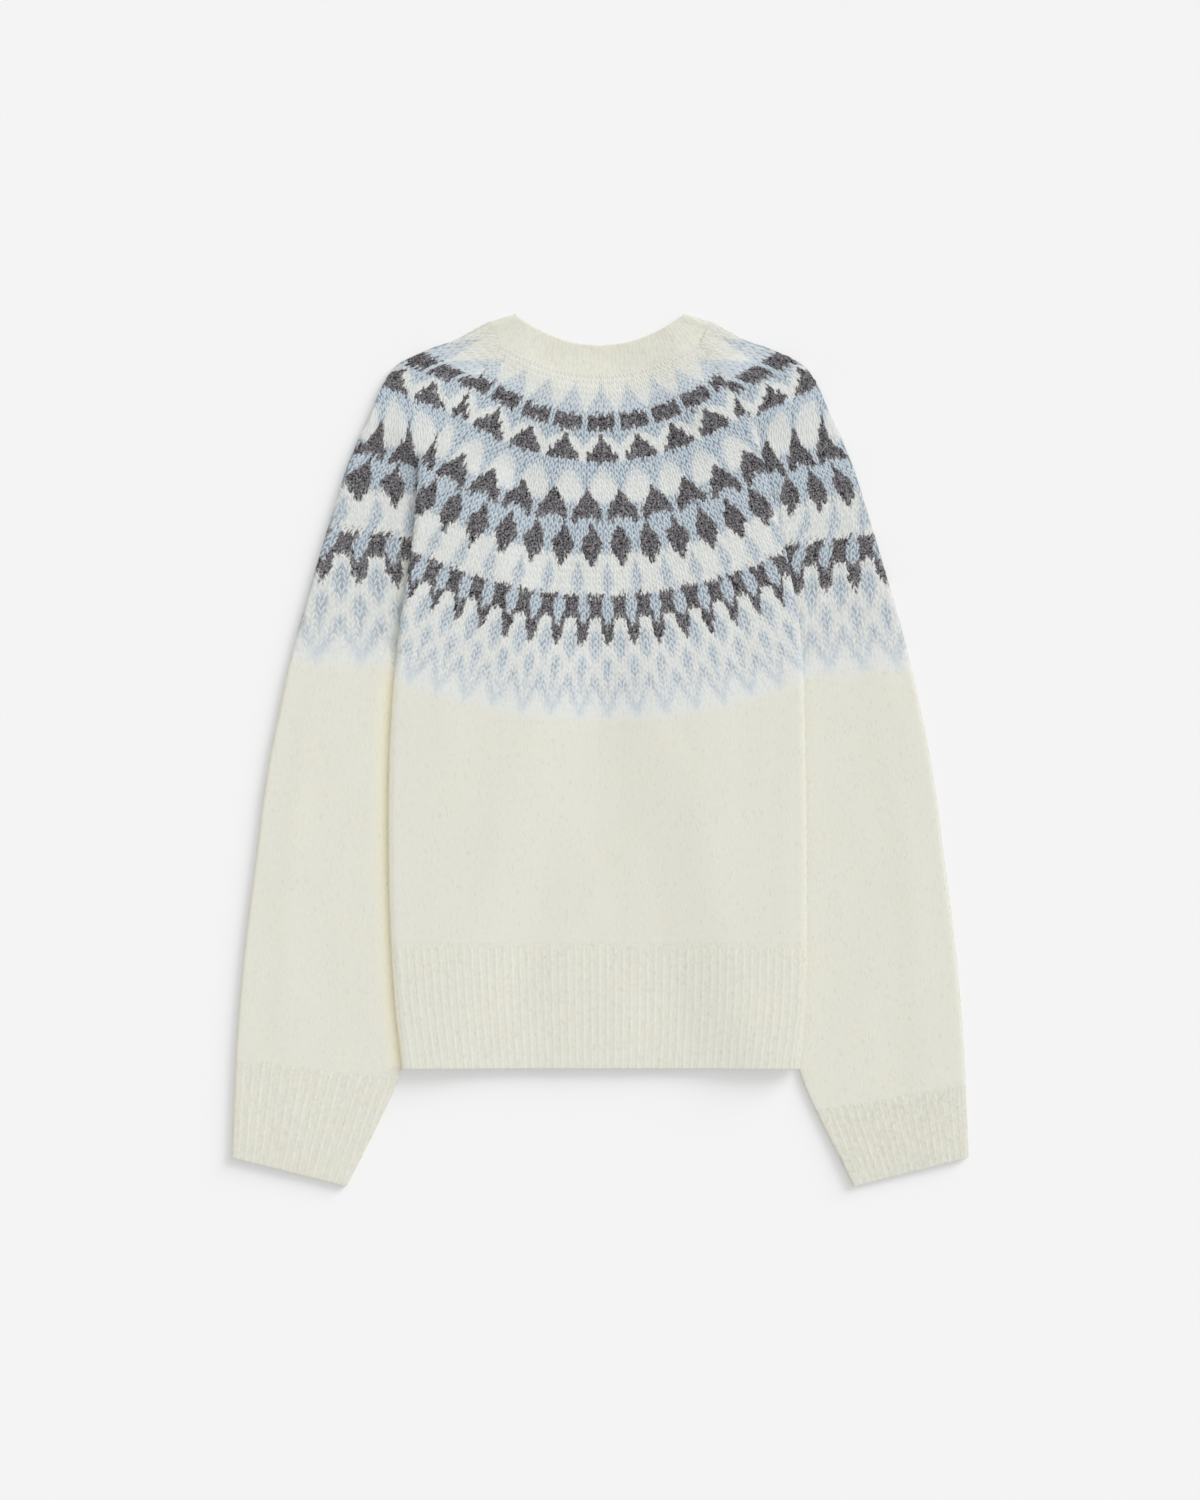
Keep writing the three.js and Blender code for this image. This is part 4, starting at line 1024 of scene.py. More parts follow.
def stitches(skin, name, material, yarn, course, rng):
    """The legs of every V in the yoke, as half-round lengths of yarn."""
    reach = skin.chart[skin.corners].reshape(-1, 2)
    low, high = reach.min(0), reach.max(0)
    legs = leg_rows(low, high, course)
    count = len(legs)
    stray = rng.normal(0, UNEVEN["place"], (count, 2))
    legs[:, :2] += stray * np.column_stack([legs[:, 2], np.full(count, course)]) / 2
    along = np.linspace(0, 1, ALONG)
    wale = legs[:, :1] + legs[:, 3:] * legs[:, 2:3] * mix(*LEG_SPREAD, smooth(along))[None, :]
    down = np.maximum(legs[:, 1:2] + course * (along - 0.5)[None, :] * LEG_LENGTH, low[1] + 0.05)
    place, normal, off = skin.at_chart(np.stack([wale, down], -1).reshape(-1, 2))
    off = off.reshape(count, ALONG)
    keep = ((off < 0.01).sum(1) > 2) & (off.max(1) < legs[:, 2])
    place, normal = place.reshape(count, ALONG, 3)[keep], normal.reshape(count, ALONG, 3)[keep]
    chart, leg_wale = legs[keep, :2], wale[keep]
    count = len(place)
    rise, half, sunk = leg_shape(chart, yarn)
    beside = unit(np.cross(unit(np.gradient(place, axis=1)), normal)) * half
    place = place - normal * sunk
    sides = [place - beside - normal * SUNK, place + normal * rise, place + beside - normal * SUNK]
    verts = np.stack(sides, 2).reshape(-1, 3)
    base = np.arange(count)[:, None, None] * LEG
    step, edge = np.arange(ALONG - 1)[None, :, None] * ACROSS, np.arange(ACROSS - 1)[None, None, :]
    a = base + step + edge
    faces = np.stack([a, a + 1, a + ACROSS + 1, a + ACROSS], -1).reshape(-1, 4)
    own_wale = mix(chart[:, :1], leg_wale, OWN_WALE) + rng.normal(0, UNEVEN["wale"], (count, 1))
    own_down = chart[:, 1:] + rng.normal(0, UNEVEN["down"], (count, 1))
    own_down = own_down + course * (along - 0.5) * OWN_DOWN
    points = np.repeat(np.stack([own_wale, own_down], -1).reshape(-1, 2), ACROSS, axis=0)
    shade = np.repeat(np.clip(rng.normal(0.5, UNEVEN["shade"], count), 0, 1), LEG)
    floats = dye_floats(points[:, 0], points[:, 1], shade)
    floats["Blue"] = np.clip(floats["Blue"] * np.repeat(rng.normal(*UNEVEN["blue"], count), LEG), 0, 1)
    inside = np.stack(np.meshgrid([0.2, 0.5, 0.8], np.linspace(0.15, 0.85, ALONG)), -1).reshape(-1, 2)
    maps = {"OFBake": cells(count, inside), "Knit": np.repeat(chart, LEG, axis=0) * MM}
    return facing(new_object(name, verts, [faces], maps, floats, material))


LOWEST = 0.2  # fibres stay this far above the floor
RAGGED = (0.95, 1.9)  # how far from its own place on the chart a fibre takes its colour
TOSS = 0.3  # how far a fibre turns from its wale, in radians
CURL = 0.5  # and how far it bends
ROOT = 0.12  # height at which a fibre leaves the cloth
DARK_LENGTH = 0.6  # length of a charcoal fibre beside a pale one
SPANS, LIFTS, WIDTHS = (0.55, 1.3), (0.2, 1.0), (0.6, 1.3)  # least and most, beside what is asked
FIBRE = 5  # points of a fibre
FIBRE_CELL = np.array([[0.15, 0.15], [0.85, 0.15], [0.85, 0.5], [0.15, 0.5], [0.5, 0.9]])


def nap(skin, name, material, rng, count, length, width, lift, weight):
    """Loose fibres of brushed wool, lying along the wales."""
    place, normal, course, chart = skin.scatter(rng, count, weight)
    points = chart + rng.normal(0, 1, (count, 2)) * RAGGED
    dark = dye_at(points[:, 0], points[:, 1]) == CHARCOAL
    toss = rng.normal(0, TOSS, count)
    way = np.where(rng.random(count) < 0.5, -1.0, 1.0)
    across = np.cross(normal, course)
    lead = unit(course * (np.cos(toss) * way)[:, None] + across * np.sin(toss)[:, None])
    bend = rng.normal(0, CURL, count)
    ahead = unit(lead + np.cross(normal, lead) * bend[:, None])
    span = length * (rng.uniform(*SPANS, count) * np.where(dark, DARK_LENGTH, 1.0))[:, None]
    high = lift * rng.uniform(*LIFTS, count)[:, None] ** 2
    half = width / 2 * rng.uniform(*WIDTHS, count)[:, None]
    root = place + normal * ROOT
    middle = root + lead * span * 0.5 + normal * (high * 0.6 + 0.1)
    tip = middle + ahead * span * 0.5 + normal * high * 0.4
    beside = unit(np.cross(lead, normal)) * half
    outline = [root - beside, root + beside, middle + beside * 0.9, middle - beside * 0.9, tip]
    verts = np.stack(outline, 1)
    verts[..., 2] = np.maximum(verts[..., 2], LOWEST)
    base = np.arange(count)[:, None] * FIBRE
    faces = [base + np.array([[0, 1, 2, 3]]), base + np.array([[3, 2, 4]])]
    floats = dye_floats(points[:, 0], points[:, 1], np.clip(rng.normal(0.5, 0.2, count), 0, 1))
    floats = {key: np.repeat(value, FIBRE) for key, value in floats.items()}
    maps = {"OFBake": cells(count, FIBRE_CELL), "Knit": np.repeat(chart, FIBRE, axis=0) * MM}
    return facing(new_object(name, verts.reshape(-1, 3), faces, maps, floats, material))


def everywhere(chart, normal):
    """As many fibres in one place as in another."""
    return np.ones(len(chart))


def yoke_more(chart, normal):
    """More fibres over the pattern and where the cloth turns over than on the plain cream."""
    turned = np.clip(0.8 - normal[:, 2], 0, 1)
    return turned + 0.06 + 0.94 * smooth((YOKE_END + 8 - chart[:, 1]) / 50.0)


# ---- materials ---------------------------------------------------------------------------------------
def sockets(group, inputs, outputs):
    """The named sockets of a node group, with its inside ends."""
    for kind, names in (("INPUT", inputs), ("OUTPUT", outputs)):
        for name, socket_type in names:
            group.interface.new_socket(name=name, in_out=kind, socket_type=socket_type)
    return group.nodes.new("NodeGroupInput").outputs, group.nodes.new("NodeGroupOutput").inputs


def add_node(tree, kind, **values):
    """A shader node, with its settings and its inputs' values by name."""
    node = tree.nodes.new(kind)
    for key, value in values.items():
        if hasattr(node, key):
            setattr(node, key, value)
        else:
            node.inputs[key].default_value = value
    return node


def feed(tree, socket, value):
    """Links a socket to another one, or sets it to a constant."""
    if isinstance(value, (int, float, tuple)):
        socket.default_value = value
    else:
        tree.links.new(value, socket)


def maths(tree, operation, one, two):
    """One operation on two sockets or numbers."""
    node = add_node(tree, "ShaderNodeMath", operation=operation)
    for socket, value in zip(node.inputs, (one, two)):
        feed(tree, socket, value)
    return node.outputs[0]


def arithmetic(tree):
    """Plus, minus and times for the sockets of one node tree."""
    return [partial(maths, tree, operation) for operation in ("ADD", "SUBTRACT", "MULTIPLY")]


def blend_colour(tree, share, one, two, mode="MIX"):
    """One colour, going over to another by a share."""
    node = add_node(tree, "ShaderNodeMix", data_type="RGBA", blend_type=mode)
    for socket, value in ((node.inputs[0], share), (node.inputs[6], one), (node.inputs[7], two)):
        feed(tree, socket, value)
    return node.outputs[2]


def noise(tree, where, **values):
    """A noise texture's value at a place."""
    texture = add_node(tree, "ShaderNodeTexNoise", **values)
    tree.links.new(where, texture.inputs["Vector"])
    return texture.outputs[0]


def opaque(colour):
    """A colour with its alpha."""
    return (*colour, 1.0)


WOOL_FLOATS = ("Blue", "Charcoal", "Yoke", "Shade", "GapShade", "PaintedGlow", "Rib")
WARMER = (1.015, 1.0, 0.93)  # tint of the cream's warmer patches
PAINTED_GLOW_TINT = (1.22, 1.18, 1.07)  # tint of the painted light that stands in for light scattered in the wool
WALE_STRETCH = (1.0, 0.3, 1.0)  # streaks run along the wales
HEATHER = 7.5  # how much charcoal wool is flecked
STRAND = 0.08  # how much pale yarns differ; charcoal ones by this and their own share
STREAK, CLOUD = 0.1, 0.05  # how much the knit's streaks and soft patches darken it
GAP_SHADE = {"blue": 0.5, "any": 0.05}  # painted shade in the gaps between stitches, partly also the dark yarn carried behind them: how dark they are
RIB_GROOVE_SHADE = ((1, 0.045), (2, 0.05))  # painted shade in the grooves between ribs: lines for each rib, and how dark they are


def wool_group(settings):
    """Colour and height of the dyed, brushed yarn, from the chart's masks and the knit's own map, with
    painted shade in the gaps between stitches and in the ribs' grooves, and painted light beside the left
    fold.
    """
    group = bpy.data.node_groups.new("Dyed wool", "ShaderNodeTree")
    inputs = [(name, "NodeSocketFloat") for name in WOOL_FLOATS]
    inputs += [("Knit", "NodeSocketVector"), ("Place", "NodeSocketVector")]
    given, out = sockets(group, inputs, [("Color", "NodeSocketColor"), ("Height", "NodeSocketFloat")])
    plus, minus, times = arithmetic(group)

    mottle = noise(group, given["Place"], Scale=42.0, Detail=3.0, Roughness=0.6)
    warmer = tuple(value * tint for value, tint in zip(settings.cream, WARMER))
    colour = blend_colour(group, mottle, opaque(settings.cream), opaque(warmer))
    for mask, dye in (
        ("Yoke", settings.yoke_white), ("Blue", settings.light_blue), ("Charcoal", settings.charcoal),
    ):
        colour = blend_colour(group, given[mask], colour, opaque(dye))
    # painted light: a lighter, warmer colour in the shade by the left fold and at the left sleeve's edge
    warm = blend_colour(group, 1.0, colour, opaque(PAINTED_GLOW_TINT), "MULTIPLY")
    colour = blend_colour(group, given["PaintedGlow"], colour, warm)

    stretch = add_node(group, "ShaderNodeMapping", Scale=WALE_STRETCH)
    group.links.new(given["Knit"], stretch.inputs["Vector"])
    streak = noise(group, stretch.outputs[0], Scale=700.0, Detail=3.0, Roughness=0.6)
    cloud = noise(group, stretch.outputs[0], Scale=38.0, Detail=2.0)
    grain = noise(group, given["Place"], Scale=700.0, Detail=2.5, Roughness=0.7)
    heather = times(minus(grain, 0.5), times(given["Charcoal"], HEATHER))
    strand = times(minus(given["Shade"], 0.5), plus(given["Charcoal"], STRAND))
    light = plus(plus(heather, strand), times(minus(streak, 0.5), STREAK))
    gain = plus(plus(light, times(minus(cloud, 0.5), CLOUD)), 1.0)
    # painted shade in the gaps between stitches; below 0 it is a painted lightening of the ribs
    shade_in_gaps = times(given["GapShade"], plus(times(given["Blue"], GAP_SHADE["blue"]), GAP_SHADE["any"]))
    gain = times(gain, minus(1.0, shade_in_gaps))
    # painted shade in the grooves between ribs
    for turns, dark in RIB_GROOVE_SHADE:
        wave = maths(group, "COSINE", times(given["Rib"], 2 * math.pi * turns), 0.0)
        gain = times(gain, minus(1.0, times(minus(1.0, wave), dark / 2)))

    scaled = add_node(group, "ShaderNodeVectorMath", operation="SCALE")
    group.links.new(colour, scaled.inputs[0])
    group.links.new(gain, scaled.inputs["Scale"])
    group.links.new(scaled.outputs[0], out["Color"])
    group.links.new(plus(streak, cloud), out["Height"])
    return group


def new_material(name, values):
    """A material of one Principled shader, with its inputs' values by name."""
    material = bpy.data.materials.new(name)
    material.use_nodes = True
    shader = material.node_tree.nodes["Principled BSDF"]
    for key, value in values.items():
        shader.inputs[key].default_value = value
    return material, material.node_tree, shader


def wool(name, group, depth):
    """Matt wool with a little fuzz on it; `depth` is how deep its bumps are."""
    values = {
        "Roughness": 0.95, "Specular IOR Level": 0.12, "Sheen Weight": 0.05, "Sheen Roughness": 0.55,
    }
    _, tree, shader = new_material(name, values)
    dyed = add_node(tree, "ShaderNodeGroup", node_tree=group)
    for float_name in WOOL_FLOATS:
        read = add_node(tree, "ShaderNodeAttribute", attribute_name=float_name)
        tree.links.new(read.outputs["Fac"], dyed.inputs[float_name])
    knit = add_node(tree, "ShaderNodeUVMap", uv_map="Knit")
    tree.links.new(knit.outputs[0], dyed.inputs["Knit"])
    tree.links.new(add_node(tree, "ShaderNodeTexCoord").outputs["Object"], dyed.inputs["Place"])
    tree.links.new(dyed.outputs["Color"], shader.inputs["Base Color"])
    if depth:
        bump = add_node(tree, "ShaderNodeBump", Strength=0.5, Distance=depth * MM)
        tree.links.new(dyed.outputs["Height"], bump.inputs["Height"])
        tree.links.new(bump.outputs[0], shader.inputs["Normal"])


def wool_materials(settings):
    """The knit's, the ribs' and the fibres' materials, made once."""
    depths = {"Knitted wool": 0.35, "Ribbed wool": 0.3, "Wool yarn": 0.0}
    if "Knitted wool" not in bpy.data.materials:
        group = wool_group(settings)
        for name, depth in depths.items():
            wool(name, group, depth)
    return [bpy.data.materials[name] for name in depths]


def resin(colour):
    """Glossy resin with darker swirls."""
    material, tree, shader = new_material("Button resin", {"Roughness": 0.32})
    place = add_node(tree, "ShaderNodeTexCoord").outputs["Object"]
    swirl = noise(tree, place, Scale=140.0, Detail=4.0, Distortion=1.2)
    dark = tuple(0.72 * value for value in colour)
    swirled = blend_colour(tree, swirl, opaque(dark), opaque(colour))
    tree.links.new(swirled, shader.inputs["Base Color"])
    return material


def paper(colour, glowing):
    """Matt paper on a softly lit table, so that its shadows stay pale."""
    values = {
        "Base Color": opaque(colour), "Roughness": 0.9, "Specular IOR Level": 0.0,
        "Emission Color": (1, 1, 1, 1), "Emission Strength": glowing,
    }
    return new_material("Paper", values)[0]


# ---- the add-on ------------------------------------------------------------------------------------------
def colour_property(name, default, description):
    return FloatVectorProperty(
        name=name, description=description, default=default, size=3, min=0, max=1, subtype="COLOR"
    )


def length_property(name, default, description):
    return FloatProperty(name=name, description=description, default=default, min=0.0, unit="LENGTH")


def strength_property(name, default, description):
    return FloatProperty(name=name, description=description, default=default, min=0.0)


class CardiganSettings(bpy.types.PropertyGroup):
    """Sizes and colours of the cardigan and its stage"""

    cream: colour_property("Cream", (0.79, 0.79, 0.725), "Undyed wool of the body, sleeves and ribs")
    yoke_white: colour_property("Yoke white", (0.803, 0.815, 0.79), "White of the patterned yoke")
    light_blue: colour_property("Light blue", (0.59, 0.67, 0.74), "Light blue of the yoke")
    charcoal: colour_property("Charcoal", (0.16, 0.153, 0.16), "Heathered charcoal of the yoke")
    button: colour_property("Button", (0.62, 0.56, 0.46), "Resin of the buttons")
    yarn: length_property("Yarn", 0.0017, "Width of a leg of a stitch")
    course: length_property("Course", 0.0046, "Height of a stitch")
    fibre: length_property("Fibre", 0.0038, "Length of a loose fibre")
    density: FloatProperty(
        name="Nap", description="Share of the loose fibres", default=1.0, min=0.0, max=1.2
    )
    sun: strength_property("Key light", 1.5, "Strength of the soft key light")
    low_sun: strength_property("Low light", 5.1, "Strength of the low light on the floor")
    sky: strength_property("Fill light", 0.58, "Strength of the even light all round")
    floor: colour_property("Floor", (0.3, 0.3, 0.3), "Plain paper under the garment")
    floor_glow: strength_property("Floor glow", 0.415, "Even light from under the paper")
    seed: IntProperty(name="Seed", description="Start of every random series", default=11, min=0)


# Loose fibres of each piece at full density, and their width and lift.
FIBRES = {"back": 30000, "sleeve": 15000, "hem": 9000, "cuff": 5000, "neckband": 1800}
BODY_FIBRE = {"width": 0.2, "lift": 0.5}
RIB_FIBRE = {"width": 0.16, "lift": 0.3}
RIB_FIBRE_LENGTH = 0.7  # beside the body's


def yoke_yarn(cloth, node, part, fibres, lowest, columns, settings, rng):
    """The yoke's stitches and the loose fibres on the back or a sleeve."""
    yarn = wool_materials(settings)[2]
    legs = stitches(
        Skin(cloth, columns, lowest[0]), f"yoke_stitches_{part}", yarn,
        settings.yarn / MM, settings.course / MM, rng,
    )
    fuzz = nap(
        Skin(cloth, columns, lowest[1]), f"nap_{node}", yarn, rng, int(fibres * settings.density),
        settings.fibre / MM, weight=yoke_more, **BODY_FIBRE,
    )
    return [worn(extra, [node]) for extra in (legs, fuzz)]


def knitted(cloth, node, material, solid=None):
    """A piece of cloth in place of the node that it stands for."""
    return worn(cloth.build(f"{node}_knit", material, solid), [node])


class CARDIGAN_OT_body(bpy.types.Operator):
    """Knit the back and the two fronts"""

    bl_idname = "cardigan.body"
    bl_label = "Body"
    bl_options = {"REGISTER", "UNDO"}

    def execute(self, context):
        settings = context.scene.cardigan
        knit = wool_materials(settings)[0]
        rng = np.random.default_rng(settings.seed)
        cut, grid = panel("back", body_levels("back"))
        chart = body_chart("back", cut[..., 0], cut[..., 1])
        cloth = Cloth(grid, *chart, press=PRESS[None], open_top_shade=OPEN_TOP_SHADE)
        back = knitted(cloth, "back", knit)
        extras = yoke_yarn(cloth, "back", "back", FIBRES["back"], (0.1, -0.2), slice(None), settings, rng)
        for side in SIDES:
            cut, grid = panel("front", body_levels("front"), side, FRONT_FLAT)
            chart = body_chart("front", cut[..., 0], cut[..., 1])
            front = knitted(Cloth(grid, *chart, press=PRESS[side]), f"front_{side}", knit)
        return {"FINISHED"}


class CARDIGAN_OT_sleeves(bpy.types.Operator):
    """Knit both sleeves"""

    bl_idname = "cardigan.sleeves"
    bl_label = "Sleeves"
    bl_options = {"REGISTER", "UNDO"}

    def execute(self, context):
        settings = context.scene.cardigan
        knit = wool_materials(settings)[0]
        for side, sign in SIDES.items():
            rng = np.random.default_rng(settings.seed + 2 + int(sign))
            node, grid = f"sleeve_{side}", sleeve_grid(side)
            climbed = smooth((grid[..., 2] - FLOOR_PLY - PLY) / EDGE_ROLL)
            grid[..., 2] += creases(SLEEVE_CREASES, sign * grid[..., 0], grid[..., 1]) * climbed
            chart = sleeve_chart(side, grid[..., 0], grid[..., 1], unrolled_x(grid, SLEEVE_TOP))
            cloth = Cloth(grid * [sign, 1, 1], *chart, press=(SEAM_PRESS, SEAM_PRESS), hand=sign)
            sleeve = knitted(cloth, node, knit)
            upper = slice(0, TUCK + SLEEVE_TOP + ROLL - 2)
            extras = yoke_yarn(cloth, node, side, FIBRES["sleeve"], (0.0, -0.4), upper, settings, rng)
        return {"FINISHED"}


# Ribs: millimetres for each, how deep they are, and where on the chart each piece lies, well below
# the yoke and apart, so that no two pieces have the same streaks. The hem's ribs follow its sides
# as it narrows, and reach their depth over `start`; a cuff's change width from seam to edge.
HEM_RIB = {"pitch": 6.15, "depth": 0.085, "follow": 1.35, "start": 9.0, "painted": 0.5}
CUFF_RIB = {"left": (7.5, 5.9), "right": (6.2, 5.0), "depth": 0.07, "down": 560, "length": 75}
NECK_RIB = {"pitch": 3.3, "depth": 0.06, "down": 620, "length": 22}
BAND_RIB = {"pitch": 3.5, "depth": 0.12, "down": 700}


def finish_rib(cloth, node, settings, rng, fibres, cut, rests_on, columns=slice(None)):
    """A rib with its loose fibres; `cut`, the size it was cut to, is not used."""
    _, ribbed, yarn = wool_materials(settings)
    obj = knitted(cloth, node, ribbed)
    if fibres:
        fuzz = nap(
            Skin(cloth, columns), f"nap_{node}", yarn, rng, int(fibres * settings.density),
            settings.fibre / MM * RIB_FIBRE_LENGTH, weight=everywhere, **RIB_FIBRE,
        )
        worn(fuzz, [node])


def hem_rib(node, layer, half, flat, fibres, rests_on, settings, rng):
    """The hem's rib under the back, or under the front on the side called `half`."""
    cut, grid = panel(layer, hem_levels(), half, flat)
    grid, thin = rounded_rows(grid)
    padded, _ = rounded_rows(np.concatenate([cut, cut[..., :1] * 0], axis=2))
    x, y = padded[..., 0], padded[..., 1]
    left, right = (FOLD_AT[side](HEM_SEAM) / FOLD_AT[side](y) for side in SIDES)
    across = x * np.where(x < 0, left, right) ** HEM_RIB["follow"]
    rib = across / HEM_RIB["pitch"]
    fade = smooth((HEM_SEAM - y) / HEM_RIB["start"]) * (1 - 0.55 * smooth((y - HEM_END - 4) / -3.0))
    relief = ribs(rib, HEM_RIB["depth"]) * fade
    down = HEM_DOWN + (HEM_SEAM - y)
    # painted shade in the grooves between ribs, from a little below the hem's seam
    painted = rib * (y < HEM_SEAM - HEM_RIB["painted"])
    cloth = Cloth(grid, across, down, relief, PRESS[half], True, thin=thin, rib=painted)
    finish_rib(cloth, node, settings, rng, fibres, panel_cut(cut), rests_on)


def cuff_rib(side, settings, rng):
    """A cuff, whose ribs run down it all round."""
    grid, thin = rounded_rows(cuff_grid(side))
    fold = TUCK + CUFF_TOP + ROLL // 2
    step = np.linalg.norm(np.diff(grid, axis=1), axis=2)
    around = np.concatenate([np.zeros((len(grid), 1)), np.cumsum(step, axis=1)], axis=1)
    around = around - around[:, fold:fold + 1]
    t = np.append(np.linspace(0, 1, CUFF_STEPS + 1), [1, 1, 1])[:, None]
    rib = around / mix(*CUFF_RIB[side], t)
    relief = ribs(rib, CUFF_RIB["depth"]) * smooth(t / 0.12) * (1 - 0.5 * smooth((t - 0.96) / 0.04))
    down = CUFF_RIB["down"] + t * CUFF_RIB["length"] + around * 0
    hand = SIDES[side]
    pressed = (SEAM_PRESS, SEAM_PRESS)
    cloth = Cloth(grid * [hand, 1, 1], around, down, relief, pressed, True, hand, thin, rib=rib)
    upper = slice(0, TUCK + CUFF_TOP + ROLL)
    cut = tube_cut(grid)
    finish_rib(cloth, f"cuff_{side}", settings, rng, FIBRES["cuff"], cut, ["floor"], upper)


def neck_rib(settings, rng):
    """The neckband, in one strip from band to band."""
    left, right = neck_half("left"), neck_half("right")
    grid, thin = rounded_rows(np.concatenate([left, right[:, -2::-1]], axis=1))
    around = distance_along(grid, NECK_ROWS // 2)
    around = np.broadcast_to(around - around[-1] / 2, grid.shape[:2])
    t = np.append(np.linspace(0, 1, NECK_ROWS + 1), [1, 1, 1])[:, None]
    relief = ribs(around / NECK_RIB["pitch"], NECK_RIB["depth"])
    relief = relief * smooth(t / 0.2 + 0.2) * (1 - 0.6 * smooth((t - 0.85) / 0.15))
    down = NECK_RIB["down"] + t * NECK_RIB["length"] + around * 0
    cloth = Cloth(grid, around, down, relief, (1, 1), True, -1, thin)
    finish_rib(cloth, "neckband", settings, rng, FIBRES["neckband"], tube_cut(grid), ["floor"])


class CARDIGAN_OT_ribs(bpy.types.Operator):
    """Knit the ribbed hem, the cuffs and the neckband"""

    bl_idname = "cardigan.ribs"
    bl_label = "Ribbing"
    bl_options = {"REGISTER", "UNDO"}

    def execute(self, context):
        settings = context.scene.cardigan
        rng = np.random.default_rng(settings.seed + 20)
        fronts = [f"hem_rib_front_{side}" for side in SIDES]
        below = [f"{front}_knit" for front in fronts]
        hem_rib("hem_rib_back", "back", None, HEM_FLAT["back"], FIBRES["hem"], below, settings, rng)
        for side, front in zip(SIDES, fronts):
            hem_rib(front, "front", side, HEM_FLAT["front"], 0, ["floor"], settings, rng)
        for side in SIDES:
            cuff_rib(side, settings, rng)
        neck_rib(settings, rng)
        return {"FINISHED"}


BUTTON_PROFILE = (  # radius and height of each ring, from the face that lies down to the shank's top
    (1.5, 0.5), (4.6, 0.45), (5.4, 0.12), (6.6, 0.0), (7.2, 0.25), (7.5, 0.8), (7.4, 1.4),
    (6.6, 1.9), (4.0, 2.0), (1.6, 2.0), (1.2, 2.2), (1.2, 4.45),
)
BUTTON_SIDES = 40
BUTTONS = [246.0 - 80.0 * i for i in range(7)]  # y of each, from the neck down
BAND_ROWS, BAND_COLUMNS = 60, 57


def model_button(y):
    """One shank button, drawn up ring by ring from a disc, face down."""
    (radius, height), *rings = BUTTON_PROFILE
    centre = (ORIGIN + [0, y, height]) * MM
    bpy.ops.object.select_all(action="DESELECT")
    bpy.ops.mesh.primitive_circle_add(
        vertices=BUTTON_SIDES, radius=radius * MM, fill_type="NGON", location=centre
    )
    bpy.ops.object.mode_set(mode="EDIT")
    bpy.ops.mesh.select_all(action="SELECT")
    for wider, higher in rings:
        rise = (0, 0, (higher - height) * MM)
        centre = centre + rise
        bpy.ops.mesh.extrude_region_move(TRANSFORM_OT_translate={"value": rise})
        bpy.ops.transform.resize(value=(wider / radius, wider / radius, 1), center_override=centre)
        radius, height = wider, higher
    bpy.ops.mesh.select_all(action="SELECT")
    bpy.ops.mesh.normals_make_consistent(inside=False)
    bpy.ops.object.mode_set(mode="OBJECT")
    bpy.ops.object.transform_apply(location=True, rotation=True, scale=True)
    return bpy.context.object


def model_buttons(material):
    """All the buttons, copied from one and joined."""
    first = model_button(BUTTONS[0])
    first.data.materials.append(material)
    copies = [first]
    for y in BUTTONS[1:]:
        copy = first.copy()
        copy.data = first.data.copy()
        copy.location.y = (y - BUTTONS[0]) * MM
        bpy.context.scene.collection.objects.link(copy)
        copies.append(copy)
    for obj in copies:
        obj.select_set(True)
    bpy.context.view_layer.objects.active = first
    bpy.ops.object.join()
    bpy.ops.object.shade_smooth_by_angle(angle=SHARP)
    first.name = first.data.name = "buttons"
    return first


def band_cloth(height):
    """A band's grid, with rows at the ends of each slit and columns at its sides."""
    half = BAND_WIDTH / 2
    places = np.linspace(-half, half, BAND_COLUMNS)
    slit = np.abs(places) <= HOLE_WIDTH / 2 + 0.1
    places[slit] = np.linspace(-HOLE_WIDTH / 2, HOLE_WIDTH / 2, slit.sum())
    ends = np.array([[y + HOLE_LENGTH / 2, y - HOLE_LENGTH / 2] for y in BUTTONS]).ravel()
    levels = np.linspace(BAND_TOP, HEM_END, BAND_ROWS)
    levels = np.sort(np.unique(np.concatenate([levels, ends])))[::-1]
    x, y = np.meshgrid(places, levels)
    grid = np.stack([x, y, np.full(x.shape, height)], -1)
    relief = ribs((x + BAND_RIB["pitch"] / 2) / BAND_RIB["pitch"], BAND_RIB["depth"])
    relief = np.minimum(relief - BAND_RIB["depth"], 0)
    return Cloth(grid, x, BAND_RIB["down"] + y, relief, (1, 1), True), places, levels


def slits(places, levels):
    """Which cells of a band are cloth, and not a buttonhole."""
    middle_x, middle_y = (places[1:] + places[:-1]) / 2, (levels[1:] + levels[:-1]) / 2
    beside = [np.abs(middle_y - at) < HOLE_LENGTH / 2 for at in BUTTONS]
    return ~(np.any(beside, axis=0)[:, None] & (np.abs(middle_x) < HOLE_WIDTH / 2)[None, :])


class CARDIGAN_OT_bands(bpy.types.Operator):
    """Make the two front bands and the buttons between them"""

    bl_idname = "cardigan.bands"
    bl_label = "Front bands and buttons"
    bl_options = {"REGISTER", "UNDO"}

    def execute(self, context):
        settings = context.scene.cardigan
        ribbed = wool_materials(settings)[1]
        cloth, _, _ = band_cloth(BUTTON_BAND_Z)
        band = knitted(cloth, "button_band", ribbed)
        cloth, places, levels = band_cloth(HOLE_BAND_Z)
        band = knitted(cloth, "buttonhole_band", ribbed, slits(places, levels))
        buttons = model_buttons(resin(tuple(settings.button)))
        worn(buttons, [f"button_{i + 1}" for i in range(len(BUTTONS))])
        return {"FINISHED"}


def sunlight(name, strength, spread, aim):
    """A soft distant light that shines along `aim`; `spread` is its width in degrees."""
    light = bpy.data.lights.new(name, "SUN")
    light.energy = strength
    light.angle = math.radians(spread)
    lamp = bpy.data.objects.new(name, light)
    lamp.rotation_euler = Vector(aim).to_track_quat("-Z", "Y").to_euler()
    return lamp


